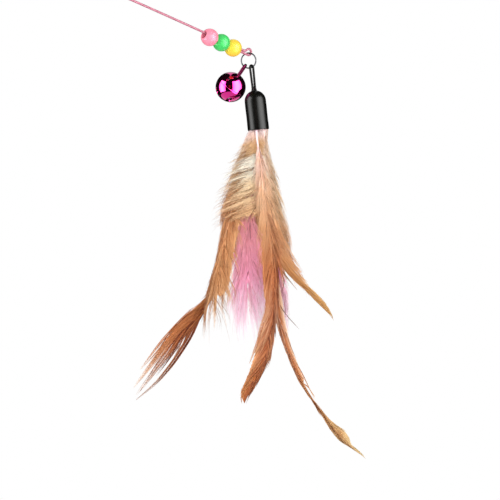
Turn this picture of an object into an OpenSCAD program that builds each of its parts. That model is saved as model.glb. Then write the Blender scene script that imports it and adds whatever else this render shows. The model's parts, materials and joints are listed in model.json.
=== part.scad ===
// Cat teaser wand, millimetres. A coated spring wire bows over from a finger
// loop at the origin to a small eye, and a jump ring there carries a jingle
// bell and a capped spray of feathers. The wire lies in the XZ plane, +Z up.

/* [Wire] */
// Diameter of the spring steel core
core_d = 0.6; // [0.45:0.05:0.8]
// Thickness of the plastic coating
coat_wall = 0.09; // [0.05:0.01:0.2]
// Length of the bowed stretch between the two sets of beads
bow_len = 400; // [300:10:500]
// Length at which the wire's stiffness balances the weight of the toy
stiff_len = 246; // [230:2:320]
// Droop of the wire below level where it meets the toy
tip_droop = 18.5; // [10:0.5:30]
// Space between the two strands of the doubled wire
strand_gap = 0.02; // [0.01:0.01:0.1]

/* [Eye at the tip] */
// Centreline radius of the eye
eye_r = 1.02; // [0.95:0.01:1.3]
// Radius at which the standing strand flares into the eye
eye_neck_r = 1.5; // [1.2:0.1:2.5]
// Doubled wire that shows between the last bead and the eye
eye_stem = 1.9; // [0.5:0.1:3]

/* [Finger loop] */
// Centreline radius of the loop
loop_r = 15; // [11:0.5:20]
// Radius at which the strands flare into the loop
loop_neck_r = 12; // [8:0.5:18]

/* [Beads] */
// Diameter of a bead
bead_d = 5.74; // [5:0.02:8]
// Room in a bead's bore beside the two strands
bead_play = 0.74; // [0.3:0.02:1]
// Running gap between two beads
bead_gap = 0.08; // [0.03:0.01:0.3]
// Width of the bevel round a bead's bore
bead_bevel = 0.15; // [0.05:0.05:0.3]

/* [Jump ring] */
// Outside diameter of the ring
ring_od = 5.4; // [5:0.1:7]
// Diameter of the ring's wire
ring_wire = 0.45; // [0.35:0.05:0.5]
// Width of the saw cut that opens the ring
ring_cut = 0.1; // [0.05:0.05:0.2]
// Slack where one link hangs on another
link_slack = 0.08; // [0.04:0.02:0.15]
// Angle of the ring's plane from the plane of the bow
toy_turn = 56; // [50:1:75]

/* [Bell] */
// Diameter of the bell
bell_d = 9.9; // [8:0.1:11]
// Thickness of the bell's shell
bell_wall = 0.4; // [0.25:0.05:0.6]
// Clear length of the bell's shackle above the shell
shackle_len = 3.2; // [2.6:0.1:4.5]
// Wire diameter of the shackle
shackle_wire = 0.8; // [0.6:0.05:1]
// Angle round the ring, from its lowest point, at which the bell hangs
bell_round = 35.4; // [32:0.1:45]
// Width of the bell's slots
slot_w = 0.8; // [0.5:0.1:1.2]
// Diameter of the holes that end the slots
slot_end_d = 1.7; // [1.3:0.1:2.2]
// Diameter of the pea inside
pea_d = 2.8; // [2:0.1:3.4]

/* [Feather cap] */
// Thickness of the cap's wall
cap_wall = 0.6; // [0.4:0.05:1]
// Length of the cap from its crown to its mouth
cap_len = 13.1; // [11:0.1:16]
// Length of the moulded loop between the ring and the crown
cap_loop_len = 7.6; // [6:0.1:10]
// Thickness of the moulded loop
cap_loop_d = 0.75; // [0.6:0.05:0.95]
// Distance between the loop's two legs, centre to centre
cap_loop_w = 1.75; // [1.65:0.05:2.2]
// Turn of the loop about the cap's axis
cap_loop_turn = 20; // [0:1:25]
// Angle round the ring, from its lowest point, at which the cap hangs
cap_round = 24; // [20:1:34]
// Lean of the cap from plumb
cap_lean = 6.6; // [0:0.1:10]
// Depth of the glue that holds the quills
glue_len = 5.5; // [3:0.5:7]
// Glue between the outermost quills and the cap
glue_film = 0.3; // [0.2:0.05:0.5]

/* [Feathers] */
// Diameter of a quill where it is glued
quill_d = 0.8; // [0.6:0.05:1]
// Glue between two quills
quill_gap = 0.08; // [0.04:0.02:0.2]
// Length of quill that sits in the glue
quill_seat = 4.5; // [2:0.5:5]
// Thickness of a hackle with its barbs
hackle_t = 0.8; // [0.5:0.1:1.2]
// Thickness of a downy feather with its barbs
down_t = 1.3; // [0.8:0.1:1.6]
// Distance below the cap over which the spray fans out
fan_len = 20; // [16:1:30]
// Turn of the spray about the cap's axis, from the ring's plane
spray_turn = 16.7; // [0:0.1:40]
// Length of bare quill below the cap
bare_len = 3; // [2:0.5:4]
// Length and width of the long hackle at the left
hackle_left_len = 83.4; // [60:0.2:110]
hackle_left_w = 6.4; // [4:0.2:9]
// Length and width of the broad hackle in the middle
hackle_centre_len = 87.6; // [60:0.2:110]
hackle_centre_w = 6.6; // [4:0.2:9]
// Length and width of the long thin hackle at the right
hackle_right_len = 110.6; // [80:0.2:130]
hackle_right_w = 3.9; // [3:0.1:6]
// Length and width of the short golden hackle at the right
hackle_gold_len = 63.8; // [45:0.2:85]
hackle_gold_w = 4.2; // [3:0.1:6]
// Length and width of the dyed plume
plume_len = 65; // [45:1:85]
plume_w = 9.8; // [6:0.2:13]
// Length and width of the second dyed plume, behind
plume_back_len = 63.7; // [45:0.1:85]
plume_back_w = 4.6; // [3:0.2:8]
// Length and width of the downy feather at the left
down_left_len = 59.5; // [40:0.5:80]
down_left_w = 8.5; // [5:0.5:12]
// Length and width of the short downy feather in front
down_front_len = 30.6; // [20:0.2:45]
down_front_w = 7.9; // [5:0.1:11]
// Length and width of the downy feather at the right
down_right_len = 47.5; // [30:0.5:65]
down_right_w = 6.6; // [4:0.2:9]
// Length and width of the downy feather in the middle
down_middle_len = 41.1; // [28:0.1:60]
down_middle_w = 8.5; // [5:0.5:12]
// Length and width of the downy feather behind
down_back_len = 45; // [30:1:65]
down_back_w = 11; // [7:0.5:14]

/* [Hidden] */
$fn = 48;
degree = 180 / PI;
cut = 1;            // overrun of every cutting tool
wire_sides = 8;     // sides of the swept wire
quill_sides = 8;    // sides of a swept feather and of its seat
bow_steps = 56;     // stations along the bow
neck_steps = 4;     // stations along a flare
eye_steps = 14;     // stations round the eye
loop_steps = 22;    // stations round the finger loop

coat_d = core_d + 2 * coat_wall;
strand_pitch = coat_d + strand_gap;
bead_bore = 2 * coat_d + strand_gap + bead_play;
bead_len = sqrt(pow(bead_d, 2) - pow(bead_bore + 2 * bead_bevel, 2));
bead_pitch = bead_len + bead_gap;
bead_count = 3;
bead_row = bead_count * bead_pitch;
bead_sag_share = 0.85;
bead_sag = bead_play / 2 * bead_sag_share;

// A station is [x, z, heading]. Stations of an eye are measured from where
// its strands start to flare: along the doubled wire, and across it.
function deg_acos(c) = acos(max(-1, min(1, c)));
function flare(r, neck, off) =
    deg_acos((neck + strand_pitch / 2 - off) / (neck + r));
function eye_centre(r, neck, off) = (neck + r) * sin(flare(r, neck, off));
function eye_path(r, neck, off, steps) =
    let (
        f1 = flare(r, neck, off),
        f2 = flare(r, neck, -off),
        c1 = eye_centre(r, neck, off),
        c2 = eye_centre(r, neck, -off),
        s = strand_pitch / 2,
        sweep = 180 + f1 + f2
    )
    concat(
        [for (i = [0 : neck_steps - 1]) let (b = f1 * i / neck_steps)
            [neck * sin(b), s + neck * (1 - cos(b)), b]],
        [for (i = [0 : steps]) let (b = 90 + f1 - sweep * i / steps)
            [c1 + r * cos(b), off + r * sin(b), b - 90]],
        f2 < 1 ? [] :
        [for (i = [1 : neck_steps]) let (b = f2 * (1 - i / neck_steps))
            [c1 - c2 + neck * sin(b), -s - neck * (1 - cos(b)), -180 - b]]
    );
function placed(p, origin, heading) = [
    origin[0] + p[0] * cos(heading) - p[1] * sin(heading),
    origin[1] + p[0] * sin(heading) + p[1] * cos(heading),
    heading + p[2]
];

// The bow is the curve of a weightless spring wire with the toy's weight at
// its tip: its bend grows towards the hand as the tip's lever does.
bow_step = bow_len / bow_steps;
bow = [
    for (i = 0, bend = 0, a = -tip_droop, x = 0, z = 0;
        i <= bow_steps;
        i = i + 1,
        bend = bend + cos(a) * bow_step / pow(stiff_len, 2),
        a = a + bend * bow_step * degree,
        x = x - bow_step * cos(a),
        z = z - bow_step * sin(a))
    [x, z, a]
];
tip_heading = -tip_droop;
tip_straight = bead_row + eye_stem;
tip_neck = placed([tip_straight, -strand_pitch / 2, 0], [0, 0], tip_heading);
eye_off = eye_r - strand_pitch / 2;
tip_tail = bead_row + eye_stem - bead_len / 2;

hand_end = bow[bow_steps];
hand_heading = hand_end[2] + 180;
hand_straight = bead_row + bead_gap;
hand_neck = placed([hand_straight, strand_pitch / 2, 0], hand_end, hand_heading);
hand_tail = bead_row - bead_len / 2;
loop_centre = placed(
    [eye_centre(loop_r, loop_neck_r, 0), 0, 0], hand_neck, hand_heading);

function from_loop(p) = [p[0] - loop_centre[0], p[1] - loop_centre[1], p[2]];
wire_path = [for (p = concat(
    [placed([-hand_tail, strand_pitch / 2, 0], hand_neck, hand_heading)],
    [for (p = eye_path(loop_r, loop_neck_r, 0, loop_steps))
        placed(p, hand_neck, hand_heading)],
    [for (i = [bow_steps : -1 : 0]) [bow[i][0], bow[i][1], bow[i][2] + 360]],
    [for (p = eye_path(eye_r, eye_neck_r, eye_off, eye_steps))
        placed(p, tip_neck, tip_heading)],
    [placed([-tip_tail, -strand_pitch / 2, -180], tip_neck, tip_heading)]
)) from_loop(p)];

tip_origin = from_loop(tip_neck);
hand_origin = from_loop(hand_neck);
eye_mid = placed(
    [eye_centre(eye_r, eye_neck_r, eye_off), eye_off, 0], tip_origin, tip_heading);

ring_r = (ring_od - ring_wire) / 2;
ring_drop = eye_r - (coat_d + ring_wire) / 2 - link_slack;
ring_mid = [eye_mid[0], 0, eye_mid[1] - ring_drop - ring_r];

bell_r = bell_d / 2;
bell_inner_r = bell_r - bell_wall;
shackle_rise = (ring_wire + shackle_wire) / 2 + link_slack;
shackle_r = ring_wire / 2 + link_slack + shackle_wire / 2 + link_slack;
bell_drop = bell_r + shackle_len;
slot_reach_share = 0.72;
slot_reach = bell_r * slot_reach_share;
pea_drop = bell_inner_r - pea_d / 2 - link_slack;

quill_rows = 11;
row_pitch = (quill_d + quill_gap) / 2;
mid_row = (quill_rows - 1) / 2;
cap_bore_r = mid_row * row_pitch + quill_d / 2 + glue_film;
cap_r = cap_bore_r + cap_wall;
cap_loop_rise = (ring_wire + cap_loop_d) / 2 + link_slack;
cap_mouth = cap_loop_len + cap_len;
cap_bore_depth = cap_len - cap_r - cap_wall;
glue_top = cap_mouth - cap_bore_depth;
quill_top = glue_top + glue_len - quill_seat;
loop_root = cap_loop_len + cap_loop_d;

// Place of each row's quill across the cap, in quill pitches
quill_side_shares = [0.2, -0.9, -1.9, -0.6, 0.6, -1.3, 1.6, 2.5, 1, -0.2, 0.9];
function quill_x(row) = quill_side_shares[row] * (quill_d + quill_gap);
function quill_y(row) = (row - mid_row) * row_pitch;

// Spread of the rows for each length below the cap, up to fan_len
fan_share = 0.085;
// Length over which a quill leaves its own seat, and thickness of its root
merge_len = bare_len * 3;
root_share = 0.57;
root_t = (quill_d + quill_gap) * root_share;

// Along a feather, each row of shares gives the way down, the way across and
// the width there, as shares of its length, its length and its width.
hackle_left_shares = [
    [0.15, -0.054, 0.1], [0.35, -0.114, 0.1], [0.5, -0.187, 0.12],
    [0.63, -0.252, 0.44], [0.7, -0.31, 0.9], [0.76, -0.385, 1],
    [0.82, -0.445, 0.92], [0.88, -0.497, 0.72], [0.94, -0.548, 0.44],
    [1, -0.594, 0.05]
];
hackle_centre_shares = [
    [0.19, -0.01, 0.1], [0.38, -0.005, 0.12], [0.5, 0.004, 0.25],
    [0.6, -0.012, 0.62], [0.7, -0.028, 0.8], [0.8, -0.052, 1],
    [0.87, -0.08, 0.95], [0.93, -0.115, 0.68], [1, -0.168, 0.06]
];
hackle_right_shares = [
    [0.15, 0.004, 0.13], [0.3, 0.005, 0.13], [0.48, -0.003, 0.15],
    [0.57, -0.002, 0.5], [0.62, 0.004, 0.85], [0.68, 0.022, 1],
    [0.74, 0.04, 0.6], [0.8, 0.068, 0.75], [0.88, 0.11, 0.9],
    [0.94, 0.147, 0.8], [1, 0.208, 0.08]
];
hackle_gold_shares = [
    [0.31, 0, 0.14], [0.55, 0.01, 0.3], [0.64, 0.03, 0.75],
    [0.7, 0.062, 1], [0.78, 0.11, 0.83], [0.85, 0.164, 0.67],
    [0.92, 0.218, 0.55], [1, 0.271, 0.08]
];
plume_shares = [
    [0.2, -0.035, 0.1], [0.36, -0.075, 0.2], [0.45, -0.1, 0.45],
    [0.55, -0.118, 0.75], [0.66, -0.13, 0.93], [0.78, -0.142, 1],
    [0.9, -0.156, 0.65], [1, -0.162, 0.12]
];
plume_back_shares = [
    [0.36, -0.005, 0.2], [0.5, -0.005, 0.6], [0.62, -0.003, 1],
    [0.78, 0.021, 1], [0.89, 0.036, 0.71], [1, 0.028, 0.14]
];
down_left_shares = [
    [0.11, -0.068, 0.5], [0.24, -0.127, 0.77], [0.37, -0.181, 0.92],
    [0.5, -0.223, 0.92], [0.64, -0.271, 1], [0.77, -0.319, 0.96],
    [0.9, -0.373, 0.54], [1, -0.405, 0.08]
];
down_front_shares = [
    [0.2, -0.099, 0.62], [0.37, -0.162, 1], [0.58, -0.207, 1],
    [0.79, -0.251, 0.67], [1, -0.286, 0.08]
];
down_right_shares = [
    [0.15, 0.024, 0.55], [0.32, 0.039, 0.8], [0.49, 0.041, 1],
    [0.67, 0.056, 0.9], [0.85, 0.072, 0.75], [1, 0.089, 0.1]
];
down_middle_shares = [
    [0.16, -0.02, 0.54], [0.36, -0.026, 0.85], [0.56, -0.04, 1],
    [0.76, -0.062, 0.92], [1, -0.072, 0.08]
];
down_back_shares = [
    [0.15, -0.033, 0.41], [0.33, -0.06, 0.76], [0.51, -0.087, 1],
    [0.72, -0.118, 0.88], [1, -0.149, 0.08]
];

// Skin over a list of rings with the same number of points
module skin(rings) {
    n = len(rings[0]);
    last = len(rings) - 1;
    polyhedron(
        points = [for (ring = rings) each ring],
        faces = concat(
            [[for (k = [n - 1 : -1 : 0]) k]],
            [for (i = [0 : last - 1], k = [0 : n - 1]) let (j = (k + 1) % n)
                [i * n + k, i * n + j, (i + 1) * n + j]],
            [for (i = [0 : last - 1], k = [0 : n - 1]) let (j = (k + 1) % n)
                [i * n + k, (i + 1) * n + j, (i + 1) * n + k]],
            [[for (k = [0 : n - 1]) last * n + k]]
        )
    );
}

// Skin of a pipe: the rings of its outside, and those of its bore
module pipe_skin(outer, inner) {
    n = len(outer[0]);
    last = len(outer) - 1;
    bore = len(outer) * n;
    polyhedron(
        points = concat([for (ring = outer) each ring], [for (ring = inner) each ring]),
        faces = concat(
            [for (i = [0 : last - 1], k = [0 : n - 1]) let (j = (k + 1) % n) each [
                [i * n + k, i * n + j, (i + 1) * n + j],
                [i * n + k, (i + 1) * n + j, (i + 1) * n + k],
                [bore + i * n + k, bore + (i + 1) * n + j, bore + i * n + j],
                [bore + i * n + k, bore + (i + 1) * n + k, bore + (i + 1) * n + j]
            ]],
            [for (k = [0 : n - 1]) let (j = (k + 1) % n) each [
                [k, bore + k, bore + j],
                [k, bore + j, j],
                [last * n + k, last * n + j, bore + last * n + j],
                [last * n + k, bore + last * n + j, bore + last * n + k]
            ]]
        )
    );
}

function wire_rings(d) = [for (p = wire_path) [for (k = [0 : wire_sides - 1])
    let (a = 360 * k / wire_sides)
    [p[0] - d / 2 * cos(a) * sin(p[2]), d / 2 * sin(a), p[1] + d / 2 * cos(a) * cos(p[2])]
]];

module wire_core() {
    color("silver") skin(wire_rings(core_d));
}

module wire_coating() {
    color("lightpink") pipe_skin(wire_rings(coat_d), wire_rings(core_d));
}

// A bead centred on the origin with its bore along X
module bead() {
    mouth_r = bead_bore / 2;
    rotate([0, 90, 0]) difference() {
        sphere(d = bead_d);
        cylinder(d = bead_bore, h = bead_d + cut, center = true);
        for (side = [0, 1]) mirror([0, 0, side])
            translate([0, 0, bead_len / 2 - bead_bevel])
                cylinder(r1 = mouth_r, r2 = mouth_r + bead_bevel + cut, h = bead_bevel + cut);
    }
}

// Beads are counted from the eye up the wire
module at_tip_bead(i) {
    p = placed([-eye_stem - bead_len / 2 - i * bead_pitch, -bead_sag, 0],
        tip_origin, tip_heading);
    translate([p[0], 0, p[1]]) rotate([0, tip_droop, 0]) children();
}

module at_hand_bead(i) {
    p = placed([-bead_gap - bead_len / 2 - i * bead_pitch, 0, 0],
        hand_origin, hand_heading);
    translate([p[0], 0, p[1]]) rotate([0, -hand_heading, 0]) children();
}

module bead_yellow() {
    color("khaki") at_tip_bead(0) bead();
}

module bead_green() {
    color("mediumseagreen") at_tip_bead(1) bead();
}

module bead_pink() {
    color("pink") at_tip_bead(2) bead();
}

module hand_bead_yellow() {
    color("khaki") at_hand_bead(0) bead();
}

module hand_bead_green() {
    color("mediumseagreen") at_hand_bead(1) bead();
}

module hand_bead_pink() {
    color("pink") at_hand_bead(2) bead();
}

// The ring's frame: X in the ring's plane, Y through the ring, Z up
module at_ring() {
    translate(ring_mid) rotate([0, 0, -toy_turn]) children();
}

// A point of the ring's wire, at an angle round from the ring's lowest point
module at_link(round_angle) {
    at_ring() translate([ring_r * sin(round_angle), 0, -ring_r * cos(round_angle)])
        children();
}

module jump_ring() {
    cut_angle = ring_cut / ring_r * degree;
    color("lightgray") at_ring() rotate([90, 0, 0]) rotate([0, 0, cut_angle])
        rotate_extrude(angle = 360 - cut_angle) translate([ring_r, 0]) circle(d = ring_wire);
}

module at_bell() {
    at_link(-bell_round) rotate([0, bell_round, 0]) translate([0, 0, -bell_drop])
        children();
}

module shackle_holes() {
    for (side = [-1, 1]) translate([0, side * shackle_r, 0])
        cylinder(d = shackle_wire, h = bell_r + cut);
}

module bell_upper_shell() {
    color("mediumvioletred") at_bell() difference() {
        sphere(r = bell_r);
        sphere(r = bell_inner_r);
        translate([0, 0, -bell_r - cut]) cylinder(r = bell_r + cut, h = bell_r + cut);
        shackle_holes();
    }
}

module bell_lower_shell() {
    color("mediumvioletred") at_bell() difference() {
        sphere(r = bell_r);
        sphere(r = bell_inner_r);
        cylinder(r = bell_r + cut, h = bell_r + cut);
        for (turn = [0, 90]) rotate([0, 0, turn + 45]) {
            translate([-slot_reach, -slot_w / 2, -bell_r - cut])
                cube([2 * slot_reach, slot_w, bell_r + cut]);
            for (side = [-1, 1]) translate([side * slot_reach, 0, -bell_r - cut])
                cylinder(d = slot_end_d, h = bell_r + cut);
        }
    }
}

module bell_shackle() {
    top = bell_drop + shackle_rise - shackle_r;
    root = bell_inner_r - shackle_wire;
    color("mediumvioletred") at_bell() {
        translate([0, 0, top]) rotate([90, 0, 90])
            rotate_extrude(angle = 180) translate([shackle_r, 0]) circle(d = shackle_wire);
        for (side = [-1, 1]) translate([0, side * shackle_r, root])
            cylinder(d = shackle_wire, h = top - root);
    }
}

module bell_pea() {
    color("silver") at_bell() rotate([0, -bell_round, 0]) translate([0, 0, -pea_drop])
        sphere(d = pea_d);
}

// The cap's frame: origin where its loop hangs on the ring, -Z down the cap
module at_cap() {
    at_link(cap_round) rotate([0, -cap_lean, 0]) children();
}

module feather_cap() {
    leg_x = cap_loop_w / 2;
    top = cap_loop_rise - leg_x;
    crown = cap_loop_len + cap_r;
    color("#202022") at_cap() difference() {
        union() {
            translate([0, 0, -crown]) sphere(r = cap_r);
            translate([0, 0, -cap_mouth]) cylinder(r = cap_r, h = cap_mouth - crown);
            rotate([0, 0, 90 - cap_loop_turn]) {
                translate([0, 0, top]) rotate([90, 0, 0])
                    rotate_extrude(angle = 180) translate([leg_x, 0]) circle(d = cap_loop_d);
                for (side = [-1, 1]) translate([side * leg_x, 0, -loop_root])
                    cylinder(d = cap_loop_d, h = top + loop_root);
            }
        }
        translate([0, 0, -cap_mouth - cut]) cylinder(r = cap_bore_r, h = cap_bore_depth + cut);
    }
}

module glue_plug() {
    color("wheat") at_cap() difference() {
        translate([0, 0, -glue_top - glue_len]) cylinder(r = cap_bore_r, h = glue_len);
        rotate([0, 0, spray_turn]) for (row = [0 : quill_rows - 1])
            translate([quill_x(row), quill_y(row), -glue_top - glue_len - cut])
                cylinder(d = quill_d, h = quill_seat + cut, $fn = quill_sides);
    }
}

// Thickness at a distance below the mouth, from the root's to the vane's
function vane_thick(s, t) =
    root_t + (t - root_t) * max(0, min(1, (s - bare_len) / (fan_len - bare_len)));
function feather_point(s, side, row, drift) = [
    quill_x(row) * max(0, 1 - s / merge_len) + side,
    quill_y(row) + (row - mid_row) * fan_share * min(s, fan_len) + drift,
    -cap_mouth - s
];

// One ring of a feather: an ellipse across its way down, turned by its roll
function vane_ring(mid, way, width, thick, roll) =
    let (
        size = norm([way[0], way[2]]),
        across = [-way[2] / size, 0, way[0] / size],
        flat = across * cos(roll) + [0, 1, 0] * sin(roll),
        deep = [0, 1, 0] * cos(roll) - across * sin(roll)
    )
    [for (k = [0 : quill_sides - 1]) let (a = 360 * k / quill_sides)
        mid + flat * width / 2 * cos(a) + deep * thick / 2 * sin(a)];

// A feather from its seat in the glue to its tip. drift_share bends it away
// from its row, and roll turns its blade, both growing towards the tip.
module feather(row, length, width, thick, shares, drift_share = 0, roll = 0) {
    seat = [quill_x(row), quill_y(row), 0];
    down = [0, 0, -1];
    mids = [for (p = shares)
        feather_point(p[0] * length, p[1] * length, row, drift_share * length * pow(p[0], 2))];
    last = len(shares) - 1;
    rings = concat(
        [vane_ring(seat + down * quill_top, down, quill_d, quill_d, 0)],
        [vane_ring(seat + down * (glue_top + glue_len), down, quill_d, quill_d, 0)],
        [vane_ring(feather_point(0, 0, row, 0), down, quill_d, quill_d, 0)],
        [vane_ring(feather_point(bare_len, 0, row, 0), down, quill_d, root_t, 0)],
        [for (i = [0 : last]) vane_ring(
            mids[i],
            mids[min(last, i + 1)] - mids[max(0, i - 1)],
            max(root_t * shares[i][2], width * shares[i][2]),
            vane_thick(shares[i][0] * length, i == last ? root_t / 2 : thick),
            roll * pow(shares[i][0], 2))]
    );
    at_cap() rotate([0, 0, spray_turn]) skin(rings);
}

module hackle_centre() {
    color("sienna") feather(
        0, hackle_centre_len, hackle_centre_w, hackle_t, hackle_centre_shares, 0.05, -15);
}

module down_front() {
    color("wheat") feather(1, down_front_len, down_front_w, down_t, down_front_shares);
}

module down_left() {
    color("tan") feather(2, down_left_len, down_left_w, down_t, down_left_shares);
}

module plume_pink() {
    color("hotpink") feather(3, plume_len, plume_w, down_t, plume_shares);
}

module down_middle() {
    color("burlywood") feather(4, down_middle_len, down_middle_w, down_t, down_middle_shares);
}

module hackle_left() {
    color("saddlebrown") feather(
        5, hackle_left_len, hackle_left_w, hackle_t, hackle_left_shares, -0.06, 30);
}

module hackle_gold() {
    color("goldenrod") feather(
        6, hackle_gold_len, hackle_gold_w, hackle_t, hackle_gold_shares, 0, -20);
}

module down_right() {
    color("tan") feather(7, down_right_len, down_right_w, down_t, down_right_shares);
}

module hackle_right() {
    color("peru") feather(
        8, hackle_right_len, hackle_right_w, hackle_t, hackle_right_shares, 0.03, -30);
}

module plume_pink_back() {
    color("hotpink") feather(9, plume_back_len, plume_back_w, down_t, plume_back_shares);
}

module down_back() {
    color("wheat") feather(10, down_back_len, down_back_w, down_t, down_back_shares);
}

wire_core();
wire_coating();
bead_pink();
bead_green();
bead_yellow();
hand_bead_pink();
hand_bead_green();
hand_bead_yellow();
jump_ring();
bell_upper_shell();
bell_lower_shell();
bell_shackle();
bell_pea();
feather_cap();
glue_plug();
hackle_left();
hackle_centre();
hackle_right();
hackle_gold();
plume_pink();
plume_pink_back();
down_left();
down_front();
down_right();
down_middle();
down_back();
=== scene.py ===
import json
import math

import bmesh
import bpy
import numpy as np
from mathutils import Matrix, Vector


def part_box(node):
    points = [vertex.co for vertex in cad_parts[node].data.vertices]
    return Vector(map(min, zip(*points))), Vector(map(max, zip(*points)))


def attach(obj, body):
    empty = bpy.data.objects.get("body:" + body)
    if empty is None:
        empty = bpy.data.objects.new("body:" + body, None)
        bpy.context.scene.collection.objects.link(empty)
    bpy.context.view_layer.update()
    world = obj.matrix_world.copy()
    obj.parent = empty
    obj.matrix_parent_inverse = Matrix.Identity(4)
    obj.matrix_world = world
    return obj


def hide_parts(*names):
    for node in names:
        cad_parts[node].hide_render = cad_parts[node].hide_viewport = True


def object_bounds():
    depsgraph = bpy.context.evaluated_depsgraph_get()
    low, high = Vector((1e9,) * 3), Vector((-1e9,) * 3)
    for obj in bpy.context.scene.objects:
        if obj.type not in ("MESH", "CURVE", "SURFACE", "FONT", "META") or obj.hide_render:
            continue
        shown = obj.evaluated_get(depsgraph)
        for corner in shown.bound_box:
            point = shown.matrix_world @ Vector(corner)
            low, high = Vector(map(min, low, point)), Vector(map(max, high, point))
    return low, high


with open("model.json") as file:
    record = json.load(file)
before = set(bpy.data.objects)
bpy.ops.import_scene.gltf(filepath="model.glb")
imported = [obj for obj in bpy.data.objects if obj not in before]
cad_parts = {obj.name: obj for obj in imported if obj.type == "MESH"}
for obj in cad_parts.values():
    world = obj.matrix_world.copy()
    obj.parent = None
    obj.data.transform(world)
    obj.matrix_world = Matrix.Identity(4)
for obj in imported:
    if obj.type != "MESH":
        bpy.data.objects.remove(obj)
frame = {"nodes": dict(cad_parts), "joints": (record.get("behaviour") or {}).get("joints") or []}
cadLow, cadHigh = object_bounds()
mm = 0.001
jointPlace = {j["name"]: Vector(j["pos_m"]) for j in frame["joints"]}


def boxMiddle(*nodes):
    corners = [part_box(n) for n in nodes]
    low = [min(c[0][i] for c in corners) for i in range(3)]
    high = [max(c[1][i] for c in corners) for i in range(3)]
    return (Vector(low) + Vector(high)) / 2


def turned(degrees, axis):
    return Matrix.Rotation(math.radians(degrees), 4, axis)


# How the toy hangs on the ring, in degrees, as in the frame
toy = dict(ringTurn=56, bellRound=35.4, capLean=6.6, capLoopTurn=20, sprayTurn=16.7)
ringPlace = Matrix.Translation(boxMiddle("jump_ring")) @ turned(-toy["ringTurn"], "Z")
bellPlace = (Matrix.Translation(boxMiddle("bell_upper_shell", "bell_lower_shell"))
             @ turned(-toy["ringTurn"], "Z") @ turned(toy["bellRound"], "Y"))
capPlace = (Matrix.Translation(jointPlace["lure_swing"])
            @ turned(-toy["ringTurn"], "Z") @ turned(-toy["capLean"], "Y"))
sprayPlace = capPlace @ turned(toy["sprayTurn"], "Z")


def colour(red, green, blue):
    # a colour as a picture writes it, 0 to 255, made linear
    parts = [c / 255 for c in (red, green, blue)]
    return tuple(c / 12.92 if c <= 0.04045 else ((c + 0.055) / 1.055) ** 2.4 for c in parts) + (1.0,)


class Flow:
    # wraps a node's output, so that shader maths reads as maths
    def __init__(self, finish, socket):
        self.finish = finish
        self.socket = socket

    def sum(self, operation, first, second):
        return self.finish.node("Math", dict(operation=operation), {0: first, 1: second})

    def __add__(self, other):
        return self.sum("ADD", self, other)

    def __sub__(self, other):
        return self.sum("SUBTRACT", self, other)

    def __rsub__(self, other):
        return self.sum("SUBTRACT", other, self)

    def __mul__(self, other):
        return self.sum("MULTIPLY", self, other)

    def __pow__(self, other):
        return self.sum("POWER", self, other)

    __radd__ = __add__
    __rmul__ = __mul__


class Finish:
    # a material, or the surround, under construction
    def __init__(self, name, owner=None):
        self.owner = owner or bpy.data.materials.new(name)
        self.owner.use_nodes = True
        self.tree = self.owner.node_tree
        self.tree.nodes.clear()

    def node(self, kind, settings=None, sockets=None, out=0):
        made = self.tree.nodes.new("ShaderNode" + kind)
        for key, value in (settings or {}).items():
            if key == "stops":
                ramp = made.color_ramp
                while len(ramp.elements) < len(value):
                    ramp.elements.new(0.5)
                for element, (place, shade) in zip(ramp.elements, value):
                    element.position = place
                    element.color = shade
            else:
                setattr(made, key, value)
        for key, value in (sockets or {}).items():
            if isinstance(value, Flow):
                self.tree.links.new(value.socket, made.inputs[key])
            else:
                made.inputs[key].default_value = value
        return Flow(self, made.outputs[out])

    def mixed(self, factor, first, second, blend="MIX"):
        settings = dict(data_type="RGBA", blend_type=blend)
        return self.node("Mix", settings, {0: factor, 6: first, 7: second}, out=2)

    def clouded(self, factor, pair):
        # between a darker and a lighter colour, as a picture writes them
        return self.mixed(factor, colour(*pair[0]), colour(*pair[1]))

    def ramp(self, factor, stops):
        return self.node("ValToRGB", dict(stops=stops), {0: factor})

    def scaled(self, shade, amount):
        return self.node("VectorMath", dict(operation="SCALE"), {0: shade, "Scale": amount})

    def noise(self, scale, detail, stretch=None):
        where = self.node("TexCoord", out=3)
        if stretch:
            where = self.node("Mapping", {}, {"Vector": where, "Scale": stretch})
        return self.node("TexNoise", {}, {"Vector": where, "Scale": scale, "Detail": detail})

    def value(self, name):
        return self.node("Attribute", dict(attribute_name=name), out=2)

    def bump(self, height, strength, distance):
        return self.node("Bump", {}, {"Height": height, "Strength": strength, "Distance": distance})

    def surface(self, **sockets):
        named = {key.replace("_", " "): value for key, value in sockets.items()}
        return self.finish(self.node("BsdfPrincipled", {}, named))

    def finish(self, shader, kind="OutputMaterial"):
        made = self.tree.nodes.new("ShaderNode" + kind)
        self.tree.links.new(shader.socket, made.inputs[0])
        return self.owner


smooth = dict(stations=241, window=21, passes=2, slopeOver=7)


def mixedTable(rows, at, column):
    # a smooth curve through a few given rows, whose first column is the place
    places = np.array([r[0] for r in rows], float)
    values = np.array([r[column] for r in rows], float)
    fine = np.linspace(places[0], places[-1], smooth["stations"])
    drawn = np.interp(fine, places, values)
    window = np.ones(smooth["window"]) / smooth["window"]
    for _ in range(smooth["passes"]):
        drawn = np.convolve(np.pad(drawn, smooth["window"] // 2, mode="edge"), window, mode="valid")
    drawn += np.interp(fine, places, values - np.interp(places, fine, drawn))
    before = -1 - smooth["slopeOver"]
    slope = (drawn[-1] - drawn[before]) / (fine[-1] - fine[before])
    beyond = np.maximum(0, at - fine[-1]) * slope
    return np.interp(at, fine, drawn) + beyond


def unit(vectors):
    return vectors / np.maximum(np.linalg.norm(vectors, axis=-1, keepdims=True), 1e-12)


# Shares of a tube's cell in the map: its border, the stretch kept for each end, and how far an end bulges
tubeMap = dict(border=0.04, end=0.08, bulge=0.07)


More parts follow.
